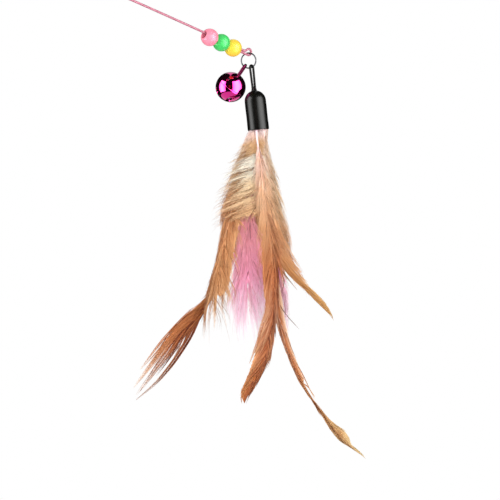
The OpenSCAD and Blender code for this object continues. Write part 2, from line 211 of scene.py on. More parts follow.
class Tubes:
    # gathers tapering tubes into one mesh; each tube gets a cell of its own in the map that a bake uses
    def __init__(self):
        self.lots = []

    def add(self, points, radius, sides=3, flat=1.0, facing=(0, 1, 0), **values):
        points = np.asarray(points, float)
        count, stations = points.shape[:2]
        radius = np.broadcast_to(radius, (count, stations))
        way = unit(np.gradient(points, axis=1))
        wide = unit(np.cross(way, np.broadcast_to(np.asarray(facing, float), way.shape)))
        deep = np.cross(wide, way)
        angle = 2 * np.pi * (np.arange(sides) + 0.25) / sides
        ring = (wide[:, :, None] * np.cos(angle)[:, None]
                + deep[:, :, None] * (flat * np.sin(angle))[:, None])
        corners = points[:, :, None] + ring * radius[:, :, None, None]
        given = {k: np.broadcast_to(v, (count, stations))[:, :, None] for k, v in values.items()}
        self.addRings(corners, given)

    def addRings(self, corners, values):
        given = {k: np.broadcast_to(v, corners.shape[:3]) for k, v in values.items()}
        self.lots.append((corners, given))

    def build(self, name, place, body, material, slot, replaced=()):
        border, end = tubeMap["border"], tubeMap["end"]
        total = sum(c.shape[0] for c, _ in self.lots)
        grid = math.ceil(math.sqrt(total))
        points, faces, mapped, values = [], [], [], {}
        first = tube = 0
        for corners, given in self.lots:
            count, stations, sides = corners.shape[:3]
            number = (first + np.arange(count * stations * sides)).reshape(count, stations, sides)
            near, far = number[:, :-1], number[:, 1:]
            after = [np.roll(n, -1, axis=2) for n in (near, far)]
            quads = np.stack([near, after[0], after[1], far], -1).reshape(-1, 4)
            k, j = np.meshgrid(np.arange(stations - 1), np.arange(sides), indexing="ij")
            across = np.stack([j, j + 1, j + 1, j], -1) / sides
            along = end + (1 - 2 * end) * np.stack([k, k, k + 1, k + 1], -1) / (stations - 1)
            cell = np.stack(np.divmod(tube + np.arange(count), grid), -1)[:, None, None, None]
            inCell = border + (1 - 2 * border) * np.stack([across, along], -1)[None]
            quadMap = ((cell + inCell) / grid).reshape(-1, 2)
            capTurn = (np.arange(sides) + 0.5) / sides
            for ring, base, way in ((number[:, 0, ::-1], 0.0, 1), (number[:, -1], 1.0, -1)):
                faces.append((ring, sides))
                rim = tubeMap["bulge"] * np.sin(np.pi * capTurn) * way + base
                capMap = border + (1 - 2 * border) * np.stack([capTurn, rim], -1)[None]
                mapped.append(((cell[:, :, 0, 0] + capMap) / grid).reshape(-1, 2))
            faces.append((quads, 4))
            mapped.append(quadMap)
            points.append(corners.reshape(-1, 3))
            for key, value in given.items():
                values.setdefault(key, []).append(value.reshape(-1))
            first += count * stations * sides
            tube += count
        return meshPiece(name, np.concatenate(points), faces, np.concatenate(mapped), values,
                         place, body, material, replaced)


def meshPiece(name, points, faces, mapped, values, place, body, material, replaced):
    mesh = bpy.data.meshes.new(name)
    mesh.vertices.add(len(points))
    mesh.vertices.foreach_set("co", (points * mm).astype(np.float32).ravel())
    corners = np.concatenate([f.reshape(-1) for f, _ in faces]).astype(np.int32)
    sizes = np.concatenate([np.full(f.size // n, n) for f, n in faces])
    mesh.loops.add(len(corners))
    mesh.loops.foreach_set("vertex_index", corners)
    mesh.polygons.add(len(sizes))
    mesh.polygons.foreach_set("loop_start", (np.cumsum(sizes) - sizes).astype(np.int32))
    mesh.update(calc_edges=True)
    for key, value in values.items():
        made = mesh.attributes.new(key, "FLOAT", "POINT")
        made.data.foreach_set("value", np.concatenate(value).astype(np.float32))
    if mapped is not None:
        layer = mesh.uv_layers.new(name="OFBake")
        layer.uv.foreach_set("vector", mapped.astype(np.float32).ravel())
    mesh.polygons.foreach_set("use_smooth", np.ones(len(sizes), bool))
    mesh.transform(place)
    return placed(name, mesh, body, material, replaced)


def placed(name, mesh, body, material, replaced):
    piece = bpy.data.objects.new(name, mesh)
    bpy.context.scene.collection.objects.link(piece)
    mesh.materials.clear()
    mesh.materials.append(material)
    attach(piece, body)
    if replaced:
        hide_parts(*replaced)
    return piece


def lathed(name, profile, place, body, material, replaced, turns):
    # turns a closed profile of (radius, height) points, in millimetres, about the local Z axis
    rows = np.asarray(profile, float)
    angle = 2 * np.pi * np.arange(turns) / turns
    points = np.stack([rows[:, :1] * np.cos(angle), rows[:, :1] * np.sin(angle),
                       np.broadcast_to(rows[:, 1:], (len(rows), turns))], -1)
    near = np.arange(len(rows) * turns).reshape(len(rows), turns)
    far = np.roll(near, -1, 0)
    quads = np.stack([near, np.roll(near, -1, 1), np.roll(far, -1, 1), far], -1).reshape(-1, 4)
    piece = meshPiece(name, points.reshape(-1, 3), [(quads, 4)], None, {},
                      place, body, material, replaced)
    tidied(piece.data)
    return piece


crisp = dict(weld=0.002, shortest=0.001, edgeAngle=35)


def tidied(mesh):
    # welds the poles, points the faces outwards and keeps the real edges crisp
    work = bmesh.new()
    work.from_mesh(mesh)
    bmesh.ops.remove_doubles(work, verts=work.verts, dist=crisp["weld"] * mm)
    bmesh.ops.dissolve_degenerate(work, edges=work.edges, dist=crisp["shortest"] * mm)
    bmesh.ops.recalc_face_normals(work, faces=work.faces)
    work.to_mesh(mesh)
    work.free()
    mesh.set_sharp_from_angle(angle=math.radians(crisp["edgeAngle"]))


def arc(middle, radius, first, last, steps):
    # points (across, up) on an arc, with angles in degrees from across
    angle = np.radians(np.linspace(first, last, steps))
    return [(middle[0] + radius * math.cos(a), middle[1] + radius * math.sin(a)) for a in angle]


# Camera, at the photograph's angle
view = dict(azimuth=-39.3, distance=2400, across=163.9, aimRight=0.45, aimDown=62.1, sensor=36,
            near=0.01, far=40)
azimuth = math.radians(view["azimuth"])
right = Vector((math.cos(azimuth), math.sin(azimuth), 0))
away = Vector((-math.sin(azimuth), math.cos(azimuth), 0))
aim = ringPlace.translation + (right * view["aimRight"] - Vector((0, 0, view["aimDown"]))) * mm
eye = bpy.data.cameras.new("camera")
eye.sensor_width = view["sensor"]
eye.lens = eye.sensor_width * view["distance"] / view["across"]
eye.clip_start = view["near"]
eye.clip_end = view["far"]
camera = bpy.data.objects.new("camera", eye)
camera.location = aim - away * view["distance"] * mm
camera.rotation_euler = away.to_track_quat("-Z", "Y").to_euler()
bpy.context.scene.collection.objects.link(camera)
bpy.context.scene.camera = camera
print("camera placed")


def towards(around, up):
    # the way from the toy to a light: degrees round to the right of the camera, and up
    a, h = math.radians(around), math.radians(up)
    level = right * math.sin(a) - away * math.cos(a)
    return level * math.cos(h) + Vector((0, 0, math.sin(h)))


def seenWhite(finish):
    # 1 for the rays that see a white studio: the camera's, reflections and what shines through
    names = ("Is Camera Ray", "Is Glossy Ray", "Is Transmission Ray")
    rays = [finish.node("LightPath", out=n) for n in names]
    seen = finish.node("Math", dict(operation="MAXIMUM"), {0: rays[0], 1: rays[1]})
    return finish.node("Math", dict(operation="MAXIMUM"), {0: seen, 1: rays[2]})


# Studio: a white floor well under the toy, which is held up by the hand, and a white surround
studio = dict(floorDown=90, floorRadius=1500, floorSides=180, floorGlow=1.2, surround=0.78, shadowShare=0.35)


def floorMade():
    finish = Finish("floor_white")
    matt = finish.node("BsdfDiffuse", {}, {"Color": colour(240, 240, 240)})
    glow = finish.node("Emission", {}, {"Color": (1, 1, 1, 1), "Strength": studio["floorGlow"]})
    seen = seenWhite(finish)
    shader = finish.node("MixShader", {}, {0: seen * (1 - studio["shadowShare"]), 1: matt, 2: glow})
    material = finish.finish(shader)
    middle = Vector((aim.x, aim.y, cadLow.z - studio["floorDown"] * mm))
    sides = studio["floorSides"]
    ring = arc((0, 0), studio["floorRadius"] * mm, 0, 360 - 360 / sides, sides)
    mesh = bpy.data.meshes.new("floor")
    mesh.from_pydata([middle + Vector((x, y, 0)) for x, y in ring], [], [list(range(len(ring)))])
    mesh.materials.append(material)
    floor = bpy.data.objects.new("floor", mesh)
    floor.visible_glossy = False
    bpy.context.scene.collection.objects.link(floor)


def surroundMade():
    world = bpy.data.worlds.new("surround")
    bpy.context.scene.world = world
    finish = Finish("surround", world)
    strength = seenWhite(finish) * (1 - studio["surround"]) + studio["surround"]
    sky = finish.node("Background", {}, {"Color": (1, 1, 1, 1), "Strength": strength})
    finish.finish(sky, "OutputWorld")


# Two soft boxes and the dark room round them, as the bell mirrors them. Angles are as towards() takes
# them, and edgeGlow is the share of its glow that a panel keeps at its side edges.
panelGrid = dict(steps=24, rows=9, edgeGlow=0.25, fade=1.2)
panels = dict(
    rightBox=dict(around=(16, 92), up=(-42, 41), far=900, glow=17),
    leftBox=dict(around=(-96, -42), up=(-28, 38), far=900, glow=15.5),
    redGlint=dict(around=(-16, 1), up=(-8, 12), far=1000, glow=0.4, tint=(1, 0.12, 0.08)),
    roomFront=dict(around=(-168, 168), up=(-36, 86), far=1200, glow=0.02),
    roomBack=dict(around=(168, 192), up=(-36, 26), far=1200, glow=0.02),
)


def panelMade(name, around, up, far, glow, tint=(1, 1, 1)):
    finish = Finish(name)
    shader = finish.node("Emission", {}, {"Color": finish.scaled(tint, finish.value("fall") * glow)})
    steps, rows, edgeGlow = panelGrid["steps"], panelGrid["rows"], panelGrid["edgeGlow"]
    arch = np.sin(np.pi * np.linspace(0, 1, steps)) ** panelGrid["fade"]
    fall = np.tile(edgeGlow + (1 - edgeGlow) * arch, rows)
    middle = boxMiddle("bell_upper_shell", "bell_lower_shell")
    points = [middle + towards(turn, high) * far * mm
              for high in np.linspace(*up, rows) for turn in np.linspace(*around, steps)]
    faces = [[r + i, r + i + 1, r + steps + i + 1, r + steps + i]
             for r in range(0, steps * (rows - 1), steps) for i in range(steps - 1)]
    mesh = bpy.data.meshes.new(name)
    mesh.from_pydata(points, [], faces)
    mesh.attributes.new("fall", "FLOAT", "POINT").data.foreach_set("value", fall.astype(np.float32))
    mesh.materials.append(finish.finish(shader))
    panel = bpy.data.objects.new(name, mesh)
    bpy.context.scene.collection.objects.link(panel)
    for ray in ("camera", "diffuse", "shadow", "transmission", "volume_scatter"):
        setattr(panel, "visible_" + ray, False)


def lampMade(name, around, up, far, size, power):
    lamp = bpy.data.lights.new(name, "AREA")
    lamp.size = size * mm
    lamp.energy = power
    made = bpy.data.objects.new(name, lamp)
    way = towards(around, up)
    made.location = aim + way * far * mm
    made.rotation_euler = (-way).to_track_quat("-Z", "Y").to_euler()
    made.visible_glossy = False
    made.visible_camera = False
    bpy.context.scene.collection.objects.link(made)


# Lamps, with their sizes in millimetres and their power in watts
lamps = dict(
    keyLamp=dict(around=40, up=20, far=900, size=700, power=3.9),
    fillLamp=dict(around=-48, up=12, far=900, size=700, power=2.2),
    frontLamp=dict(around=4, up=10, far=1200, size=500, power=4.0),
    backLamp=dict(around=176, up=18, far=1100, size=900, power=4.0),
)
floorMade()
surroundMade()
for panelName, panel in panels.items():
    panelMade(panelName, **panel)
for lampName, lamp in lamps.items():
    lampMade(lampName, **lamp)
bpy.context.scene.view_settings.view_transform = "Standard"
print("studio lit")


# Wire: the bowed spring wire in its plastic coat, with the eye at its tip and the finger loop
wire = dict(coat=0.78, gap=0.02, bow=400, stiff=246, droop=18.5, stations=56, eye=1.02, eyeNeck=1.5,
            eyeStem=1.9, loop=15, loopNeck=12, loopSteps=64, eyeSteps=36, beads=3, step=0.35, sides=14,
            endShare=0.8, necks=9, pinks=((158, 88, 106), (180, 112, 130)),
            steels=((130, 130, 134), (190, 190, 192)))
bead = dict(size=5.74, bore=2.32, bevel=0.15, rise=0.005, gap=0.08, turns=72, sideSteps=40, boreSteps=9,
            lip=((0.7, 0.12), (0.25, 0.5), (0, 1)))
bead["length"] = math.sqrt(bead["size"] ** 2 - (bead["bore"] + 2 * bead["bevel"]) ** 2)
strandPitch = wire["coat"] + wire["gap"]
beadRow = wire["beads"] * (bead["length"] + bead["gap"])


def flare(radius, neck, offset):
    return math.degrees(math.acos(min(1, (neck + strandPitch / 2 - offset) / (neck + radius))))


def eyeReach(radius, neck, offset):
    return (neck + radius) * math.sin(math.radians(flare(radius, neck, offset)))


def eyePath(radius, neck, offset, steps):
    # stations (along, across, heading) from where the strands start to flare, round and back
    first, last = flare(radius, neck, offset), flare(radius, neck, -offset)
    half = strandPitch / 2
    stations = [(neck * math.sin(math.radians(b)), half + neck * (1 - math.cos(math.radians(b))), b)
                for b in np.linspace(0, first, wire["necks"])[:-1]]
    middle = eyeReach(radius, neck, offset)
    for b in np.linspace(90 + first, -90 - last, steps):
        r = math.radians(b)
        stations.append((middle + radius * math.cos(r), offset + radius * math.sin(r), b - 90))
    if last >= 1:
        back = middle - eyeReach(radius, neck, -offset)
        for b in np.linspace(last, 0, wire["necks"])[1:]:
            r = math.radians(b)
            stations.append((back + neck * math.sin(r), -half - neck * (1 - math.cos(r)), -180 - b))
    return stations


def carried(station, origin, heading):
    h = math.radians(heading)
    return (origin[0] + station[0] * math.cos(h) - station[1] * math.sin(h),
            origin[1] + station[0] * math.sin(h) + station[1] * math.cos(h), heading + station[2])


def bowPath():
    step = wire["bow"] / wire["stations"]
    x = z = bend = 0.0
    heading = -wire["droop"]
    stations = [(x, z, heading)]
    for _ in range(wire["stations"]):
        bend += math.cos(math.radians(heading)) * step / wire["stiff"] ** 2
        heading += math.degrees(bend * step)
        x -= step * math.cos(math.radians(heading))
        z -= step * math.sin(math.radians(heading))
        stations.append((x, z, heading))
    return stations


def wireStations():
    bow = bowPath()
    tipNeck = carried((beadRow + wire["eyeStem"], -strandPitch / 2, 0), (0, 0), -wire["droop"])
    handHeading = bow[-1][2] + 180
    handNeck = carried((beadRow + bead["gap"], strandPitch / 2, 0), bow[-1], handHeading)
    eyeOffset = wire["eye"] - strandPitch / 2
    loop = [carried(s, handNeck, handHeading)
            for s in eyePath(wire["loop"], wire["loopNeck"], 0, wire["loopSteps"])]
    eye = [carried(s, tipNeck, -wire["droop"])
           for s in eyePath(wire["eye"], wire["eyeNeck"], eyeOffset, wire["eyeSteps"])]
    tails = (beadRow - bead["length"] / 2, beadRow + wire["eyeStem"] - bead["length"] / 2)
    start = carried((-tails[0], strandPitch / 2, 0), handNeck, handHeading)
    end = carried((-tails[1], -strandPitch / 2, -180), tipNeck, -wire["droop"])
    middle = carried((eyeReach(wire["loop"], wire["loopNeck"], 0), 0, 0), handNeck, handHeading)
    stations = [start] + loop + [(x, z, h) for x, z, h in reversed(bow)] + eye + [end]
    return np.array([(x - middle[0], 0, z - middle[1]) for x, z, _ in stations])


def resampled(points, step):
    # even steps along a path, with its corners eased
    lengths = np.concatenate([[0], np.cumsum(np.linalg.norm(np.diff(points, axis=0), axis=1))])
    keep = np.concatenate([[True], np.diff(lengths) > 1e-6])
    at = np.arange(0, lengths[-1], step)
    return np.stack([np.interp(at, lengths[keep], points[keep][:, i]) for i in range(3)], -1)


def pinkCoat():
    finish = Finish("pink_coating")
    mottle = finish.noise(240.0, 2.0)
    shade = finish.clouded(mottle, wire["pinks"])
    return finish.surface(Base_Color=shade, Roughness=mottle * 0.1 + 0.3, Coat_Weight=0.05,
                          Coat_Roughness=0.2, Specular_IOR_Level=0.18,
                          Normal=finish.bump(mottle, 0.05, 0.05 * mm))


def wireMade():
    tubes = Tubes()
    path = resampled(wireStations(), wire["step"])
    radius = np.full(len(path), wire["coat"] / 2)
    radius[[0, -1]] *= wire["endShare"]
    tubes.add(path[None], radius[None], sides=wire["sides"])
    tubes.build("wireCoat", Matrix.Identity(4), "wand", pinkCoat(), "pink_coating", ["wire_coating"])


wireMade()
print("wire bent")


# Beads: pressed plastic, glossy, with a bevelled bore
beadColours = dict(pink=((226, 122, 144), (238, 142, 162)), green=((50, 184, 84), (74, 198, 104)),
                   yellow=((224, 186, 44), (234, 202, 70)))


def beadFinish(name):
    finish = Finish(name + "_bead")
    cloud = finish.noise(260.0, 2.0)
    shade = finish.clouded(cloud, beadColours[name])
    return finish.surface(Base_Color=shade, Roughness=cloud * 0.08 + 0.3, Coat_Weight=0.05,
                          Coat_Roughness=0.2, Specular_IOR_Level=0.2,
                          Normal=finish.bump(cloud, 0.05, 0.05 * mm))


def beadProfile():
    outer, bore, bevel = bead["size"] / 2, bead["bore"] / 2, bead["bevel"]
    mouth = math.degrees(math.acos((bore + bevel) / outer))
    side = arc((0, 0), outer, -mouth + 2, mouth - 2, bead["sideSteps"])
    half = bead["length"] / 2
    lip = [(bore + bevel * 1.25, half + bead["rise"])]
    lip += [(bore + bevel * out, half - bevel * down) for out, down in bead["lip"]]
    wall = half - bevel * 1.6
    inner = [(bore, h) for h in np.linspace(wall, -wall, bead["boreSteps"])]
    return side + lip + inner + [(r, -h) for r, h in reversed(lip)]


def beadsMade():
    profile = beadProfile()
    for name in beadColours:
        material = beadFinish(name)
        for hand in ("", "hand_"):
            joint = next(j for j in frame["joints"] if j["name"] == hand + name + "_bead_spin")
            axis = Vector(joint["axis"])
            place = Matrix.Translation(joint["pos_m"]) @ axis.to_track_quat("Z", "Y").to_matrix().to_4x4()
            lathed((hand or "tip_") + name + "Bead", profile, place, hand + name + "_bead", material,
                   [hand + "bead_" + name], bead["turns"])


beadsMade()
print("beads threaded")


# Jump ring: dark plated wire, sawn through at one side
ring = dict(outside=5.4, wire=0.45, cut=0.1, steps=110, sides=16, greys=((34, 34, 36), (70, 70, 72)))


def ringFinish():
    finish = Finish("plated_ring")
    wear = finish.noise(700.0, 4.0)
    shade = finish.clouded(wear, ring["greys"])
    return finish.surface(Base_Color=shade, Metallic=1.0, Roughness=wear * 0.14 + 0.18,
                          Normal=finish.bump(wear, 0.15, 0.02 * mm))


def ringMade():
    middle = (ring["outside"] - ring["wire"]) / 2
    gap = math.degrees(ring["cut"] / middle)
    path = np.array([(x, 0, z) for x, z in arc((0, 0), middle, -gap, -360, ring["steps"])])
    tubes = Tubes()
    tubes.add(path[None], ring["wire"] / 2, sides=ring["sides"])
    tubes.build("jumpRing", ringPlace, "ring", ringFinish(), "plated_ring", ["jump_ring"])


ringMade()
print("ring closed")


# Bell: two pressed shells with a rolled seam, crossed slots, a shackle and the pea
# the dark colour after the magentas, and the shackle's share of it, are painted shade on the shackle
bell = dict(size=9.9, wall=0.4, seam=0.07, slot=0.8, slotEnd=1.7, slotShare=0.72, slotDeep=(0.05, 1),
            slotTurns=(45, 135), slotSteps=24, shackle=0.8, shackleLength=3.2, shackleDullShade=0.96, slack=0.08,
            turns=128, magentas=((196, 10, 112), (216, 20, 140)), dull=(40, 4, 18),
            peaSteels=((120, 122, 126), (188, 190, 194)))
rim = dict(start=1.6, turnIn=0.25, turnUp=0.6, edgeIn=0.8, meet=0.004, skinSteps=48, backSteps=40)


def magentaMetal():
    finish = Finish("magenta_metal")
    pool = finish.noise(160.0, 2.0)
    # painted shade: on the shackle the magenta gives way to a dark maroon, and the coat thins below
    shade = finish.mixed(finish.value("dull"), finish.clouded(pool, bell["magentas"]), colour(*bell["dull"]))
    fine = finish.noise(1500.0, 3.0)
    lacquer = 1.0 - finish.value("dull") * 0.9
    return finish.surface(Base_Color=shade, Metallic=1.0, Roughness=fine * 0.05 + 0.05, Coat_Weight=lacquer,
                          Coat_Roughness=0.05, Coat_IOR=1.37, Normal=finish.bump(pool, 0.12, 0.05 * mm))


def shellProfile(sign):
    outer, inner, seam = bell["size"] / 2, bell["size"] / 2 - bell["wall"], bell["seam"]
    dip = math.degrees(seam / outer)
    skin = arc((0, 0), outer, 90, dip * rim["start"], rim["skinSteps"])
    lip = [(outer - seam * rim["turnIn"], seam * rim["turnUp"]), (outer - seam * rim["edgeIn"], rim["meet"])]
    back = [(inner, rim["meet"])] + arc((0, 0), inner, dip, 90, rim["backSteps"])
    return [(max(r, 0), sign * h) for r, h in skin + lip + back]


def slotCutter(turn):
    reach, half, end = bell["size"] / 2 * bell["slotShare"], bell["slot"] / 2, bell["slotEnd"] / 2
    pinch = math.degrees(math.asin(half / end))
    outline = arc((reach, 0), end, -180 + pinch, 180 - pinch, bell["slotSteps"])
    outline += arc((-reach, 0), end, pinch, 360 - pinch, bell["slotSteps"])
    count = len(outline)
    points = [(x * mm, y * mm, -h * bell["size"] * mm) for h in bell["slotDeep"] for x, y in outline]
    faces = [list(range(count)), list(range(2 * count - 1, count - 1, -1))]
    faces += [[i, count + i, count + (i + 1) % count, (i + 1) % count] for i in range(count)]
    mesh = bpy.data.meshes.new("slotCutter")
    mesh.from_pydata(points, [], faces)
    mesh.transform(bellPlace @ turned(turn, "Z"))
    cutter = bpy.data.objects.new("slotCutter", mesh)
    bpy.context.scene.collection.objects.link(cutter)
    tidied(mesh)
    return cutter


def cutBy(piece, cutter):
    cut = piece.modifiers.new("cut", "BOOLEAN")
    cut.operation = "DIFFERENCE"
    cut.object = cutter
    cut.solver = "EXACT"
    bpy.context.view_layer.update()
    shape = bpy.data.meshes.new_from_object(piece.evaluated_get(bpy.context.evaluated_depsgraph_get()))
    piece.modifiers.remove(cut)
    piece.data = shape
    bpy.data.objects.remove(cutter)


def bellMade():
    metal = magentaMetal()
    lathed("bellCrown", shellProfile(1), bellPlace, "bell", metal,
           ["bell_upper_shell"], bell["turns"])
    lower = lathed("bellCup", shellProfile(-1), bellPlace, "bell", metal,
                   ["bell_lower_shell"], bell["turns"])
    for turn in bell["slotTurns"]:
        cutBy(lower, slotCutter(turn))
    tidied(lower.data)
    shackleMade(metal)


def shackleMade(metal):
    half = ring["wire"] / 2 + bell["slack"] + bell["shackle"] / 2 + bell["slack"]
    hang = bell["size"] / 2 + bell["shackleLength"]
    top = hang + (ring["wire"] + bell["shackle"]) / 2 + bell["slack"] - half
    root = bell["size"] / 2 - bell["wall"] - bell["shackle"]
    legs = [(half, h) for h in np.linspace(root, top, 14)[:-1]]
    path = legs + arc((0, top), half, 0, 180, 24) + [(-x, h) for x, h in reversed(legs)]
    tubes = Tubes()
    points = np.array([(0, y, z) for y, z in path])
    # the shackle takes the dark maroon, painted shade, and a thinner coat
    tubes.add(points[None], bell["shackle"] / 2, sides=16, facing=(1, 0, 0), dull=bell["shackleDullShade"])
    tubes.build("bellShackle", bellPlace, "bell", metal, "magenta_metal", ["bell_shackle"])


bellMade()


def steelPea():
    finish = Finish("steel_pea")
    pits = finish.noise(1400.0, 4.0)
    shade = finish.clouded(pits, bell["peaSteels"])
    return finish.surface(Base_Color=shade, Metallic=1.0, Roughness=pits * 0.2 + 0.2,
                          Normal=finish.bump(pits, 0.3, 0.03 * mm))


def springSteel():
    finish = Finish("spring_steel")
    drawn = finish.noise(2000.0, 3.0)
    shade = finish.clouded(drawn, wire["steels"])
    return finish.surface(Base_Color=shade, Metallic=1.0, Roughness=drawn * 0.15 + 0.25)


def dressed(node, material):
    mesh = frame["nodes"][node].data
    mesh.materials.clear()
    mesh.materials.append(material)


dressed("bell_pea", steelPea())
dressed("wire_core", springSteel())
print("bell hung")


# Cap: soft black vinyl, dipped, with its loop moulded on
cap = dict(radius=3.5, bore=2.9, top=7.6, mouth=20.7, wall=0.6, lip=0.28, lipUp=1, ease=0.5, ripple=0.02,
           chamfer=0.3, loop=0.75, loopWide=1.75, loopFoot=1.15, slack=0.08, fillet=0.5, filletUp=0.45,
           filletDown=0.3, turns=72, blacks=((5, 5, 4), (14, 14, 12)), shine=0.125, loopShine=0.06,
           glues=((198, 172, 128), (232, 214, 180)))
cap["boreTop"] = cap["top"] + cap["radius"] + cap["wall"]


def blackVinyl(shine):
    finish = Finish("black_vinyl")
    smear = finish.noise(420.0, 4.0, (1.0, 1.0, 0.25))
    fine = finish.noise(2600.0, 2.0)
    shade = finish.clouded(smear, cap["blacks"])
    return finish.surface(Base_Color=shade, Roughness=smear * 0.1 + 0.2, Specular_IOR_Level=shine,
                          Normal=finish.bump(smear * 0.9 + fine * 0.1, 0.1, 0.06 * mm))


def capMade():
    radius, bore, lip, mouth = cap["radius"], cap["bore"], cap["lip"], -cap["mouth"]
    crown = -cap["top"] - radius
    skin = arc((0, crown), radius, 90, 0, 32)
    lipTop, chamfer, boreTop = mouth + cap["lipUp"], cap["chamfer"], -cap["boreTop"]
    heights = np.linspace(crown - cap["ease"], lipTop, 10)
    wall = [(radius + cap["ripple"] * math.sin(i * 0.9), z) for i, z in enumerate(heights)]
    lips = arc((radius - lip, mouth + lip), lip, 0, -90, 6)
    lips += arc((bore + lip, mouth + lip), lip, -90, -180, 6)
    inner = [(bore, z) for z in np.linspace(lipTop, boreTop - chamfer, 8)]
    profile = skin + wall + lips + inner + [(bore - chamfer, boreTop), (0, boreTop)]
    lathed("capShell", profile, capPlace, "lure", blackVinyl(cap["shine"]),
           ["feather_cap"], cap["turns"])
    loopMade(blackVinyl(cap["loopShine"]))


def loopMade(vinyl):
    thick, high, low = cap["loop"] / 2, cap["loopWide"] / 2, cap["loopFoot"] / 2
    top = (ring["wire"] + cap["loop"]) / 2 + cap["slack"] - high
    heights = np.linspace(-cap["top"] - cap["loop"], top, 26)[:-1]
    share = np.clip((heights - heights[0]) / (top - heights[0]), 0, 1)
    legs = list(zip(low + (high - low) * share ** 0.8, heights))
    path = np.array(legs + arc((0, top), high, 0, 180, 26) + [(-x, z) for x, z in reversed(legs)])
    above = np.maximum(path[:, 1] + cap["top"], -cap["filletDown"])
    spread = thick * (1 + cap["fillet"] * np.exp(-above / cap["filletUp"]) * (path[:, 1] < top))
    tubes = Tubes()
    points = np.stack([path[:, 0], 0 * path[:, 0], path[:, 1]], -1)
    tubes.add(points[None], spread[None], sides=16)
    tubes.build("capLoop", capPlace @ turned(90 - toy["capLoopTurn"], "Z"), "lure", vinyl, "black_vinyl")


capMade()


def hotGlue():
    finish = Finish("glue")
    haze = finish.noise(500.0, 3.0)
    return finish.surface(Base_Color=finish.clouded(haze, cap["glues"]), Roughness=haze * 0.2 + 0.2,
                          Coat_Weight=0.3, Normal=finish.bump(haze, 0.3, 0.1 * mm))


dressed("glue_plug", hotGlue())
print("cap moulded")


# Feathers. Places are millimetres in the spray's own plane, as it faces the camera: down from the
# cap's mouth, and across. A shaft is a list of (down, across), and a vane's edges (down, left, right).
spray = dict(rows=11, quill=0.8, quillGap=0.08, seatUp=(8.0, 3.0), fanShare=0.085, fanLength=20, merge=9,
             sides=(0.2, -0.9, -1.9, -0.6, 0.6, -1.3, 1.6, 2.5, 1, -0.2, 0.9), seed=40)
quillPitch = spray["quill"] + spray["quillGap"]
rowPitch = quillPitch / 2
middleRow = (spray["rows"] - 1) / 2
# The looks that all feathers share: thick is a shaft's radius at the quill, thin its diameter at the tip,
# and pairs are the least and most that a draw gives
shaftLook = dict(thick=0.42, thin=0.1, ends=0.97, stations=60, sides=10)
sheetLook = dict(stations=90, sides=36, thick=0.04, ragged=0.045, close=1.0, taper=4, barbShare=0.45,
                 fold=0.012)
strandLook = dict(root=0.55, fullAt=0.2, thinning=0.9, thinPower=2.2, widths=(0.7, 1.3), waves=(3, 8),
                  open=0.04, flat=0.15, contrast=0.08, curveSteps=25)
vaneLook = dict(lengths=(0.7, 1.35), strays=(1.05, 1.3), frontShare=0.6, backSwell=2.6, steps=13,
                hairAbove=0.14)
hairLook = dict(half=0.1, width=0.16, stray=0.05, tone=(0.4, 0.4), contrast=0.35, short=0.2)
combLook = dict(width=0.18, early=0.3, short=0.35, depth=0.2, stations=14, wave=0.06)


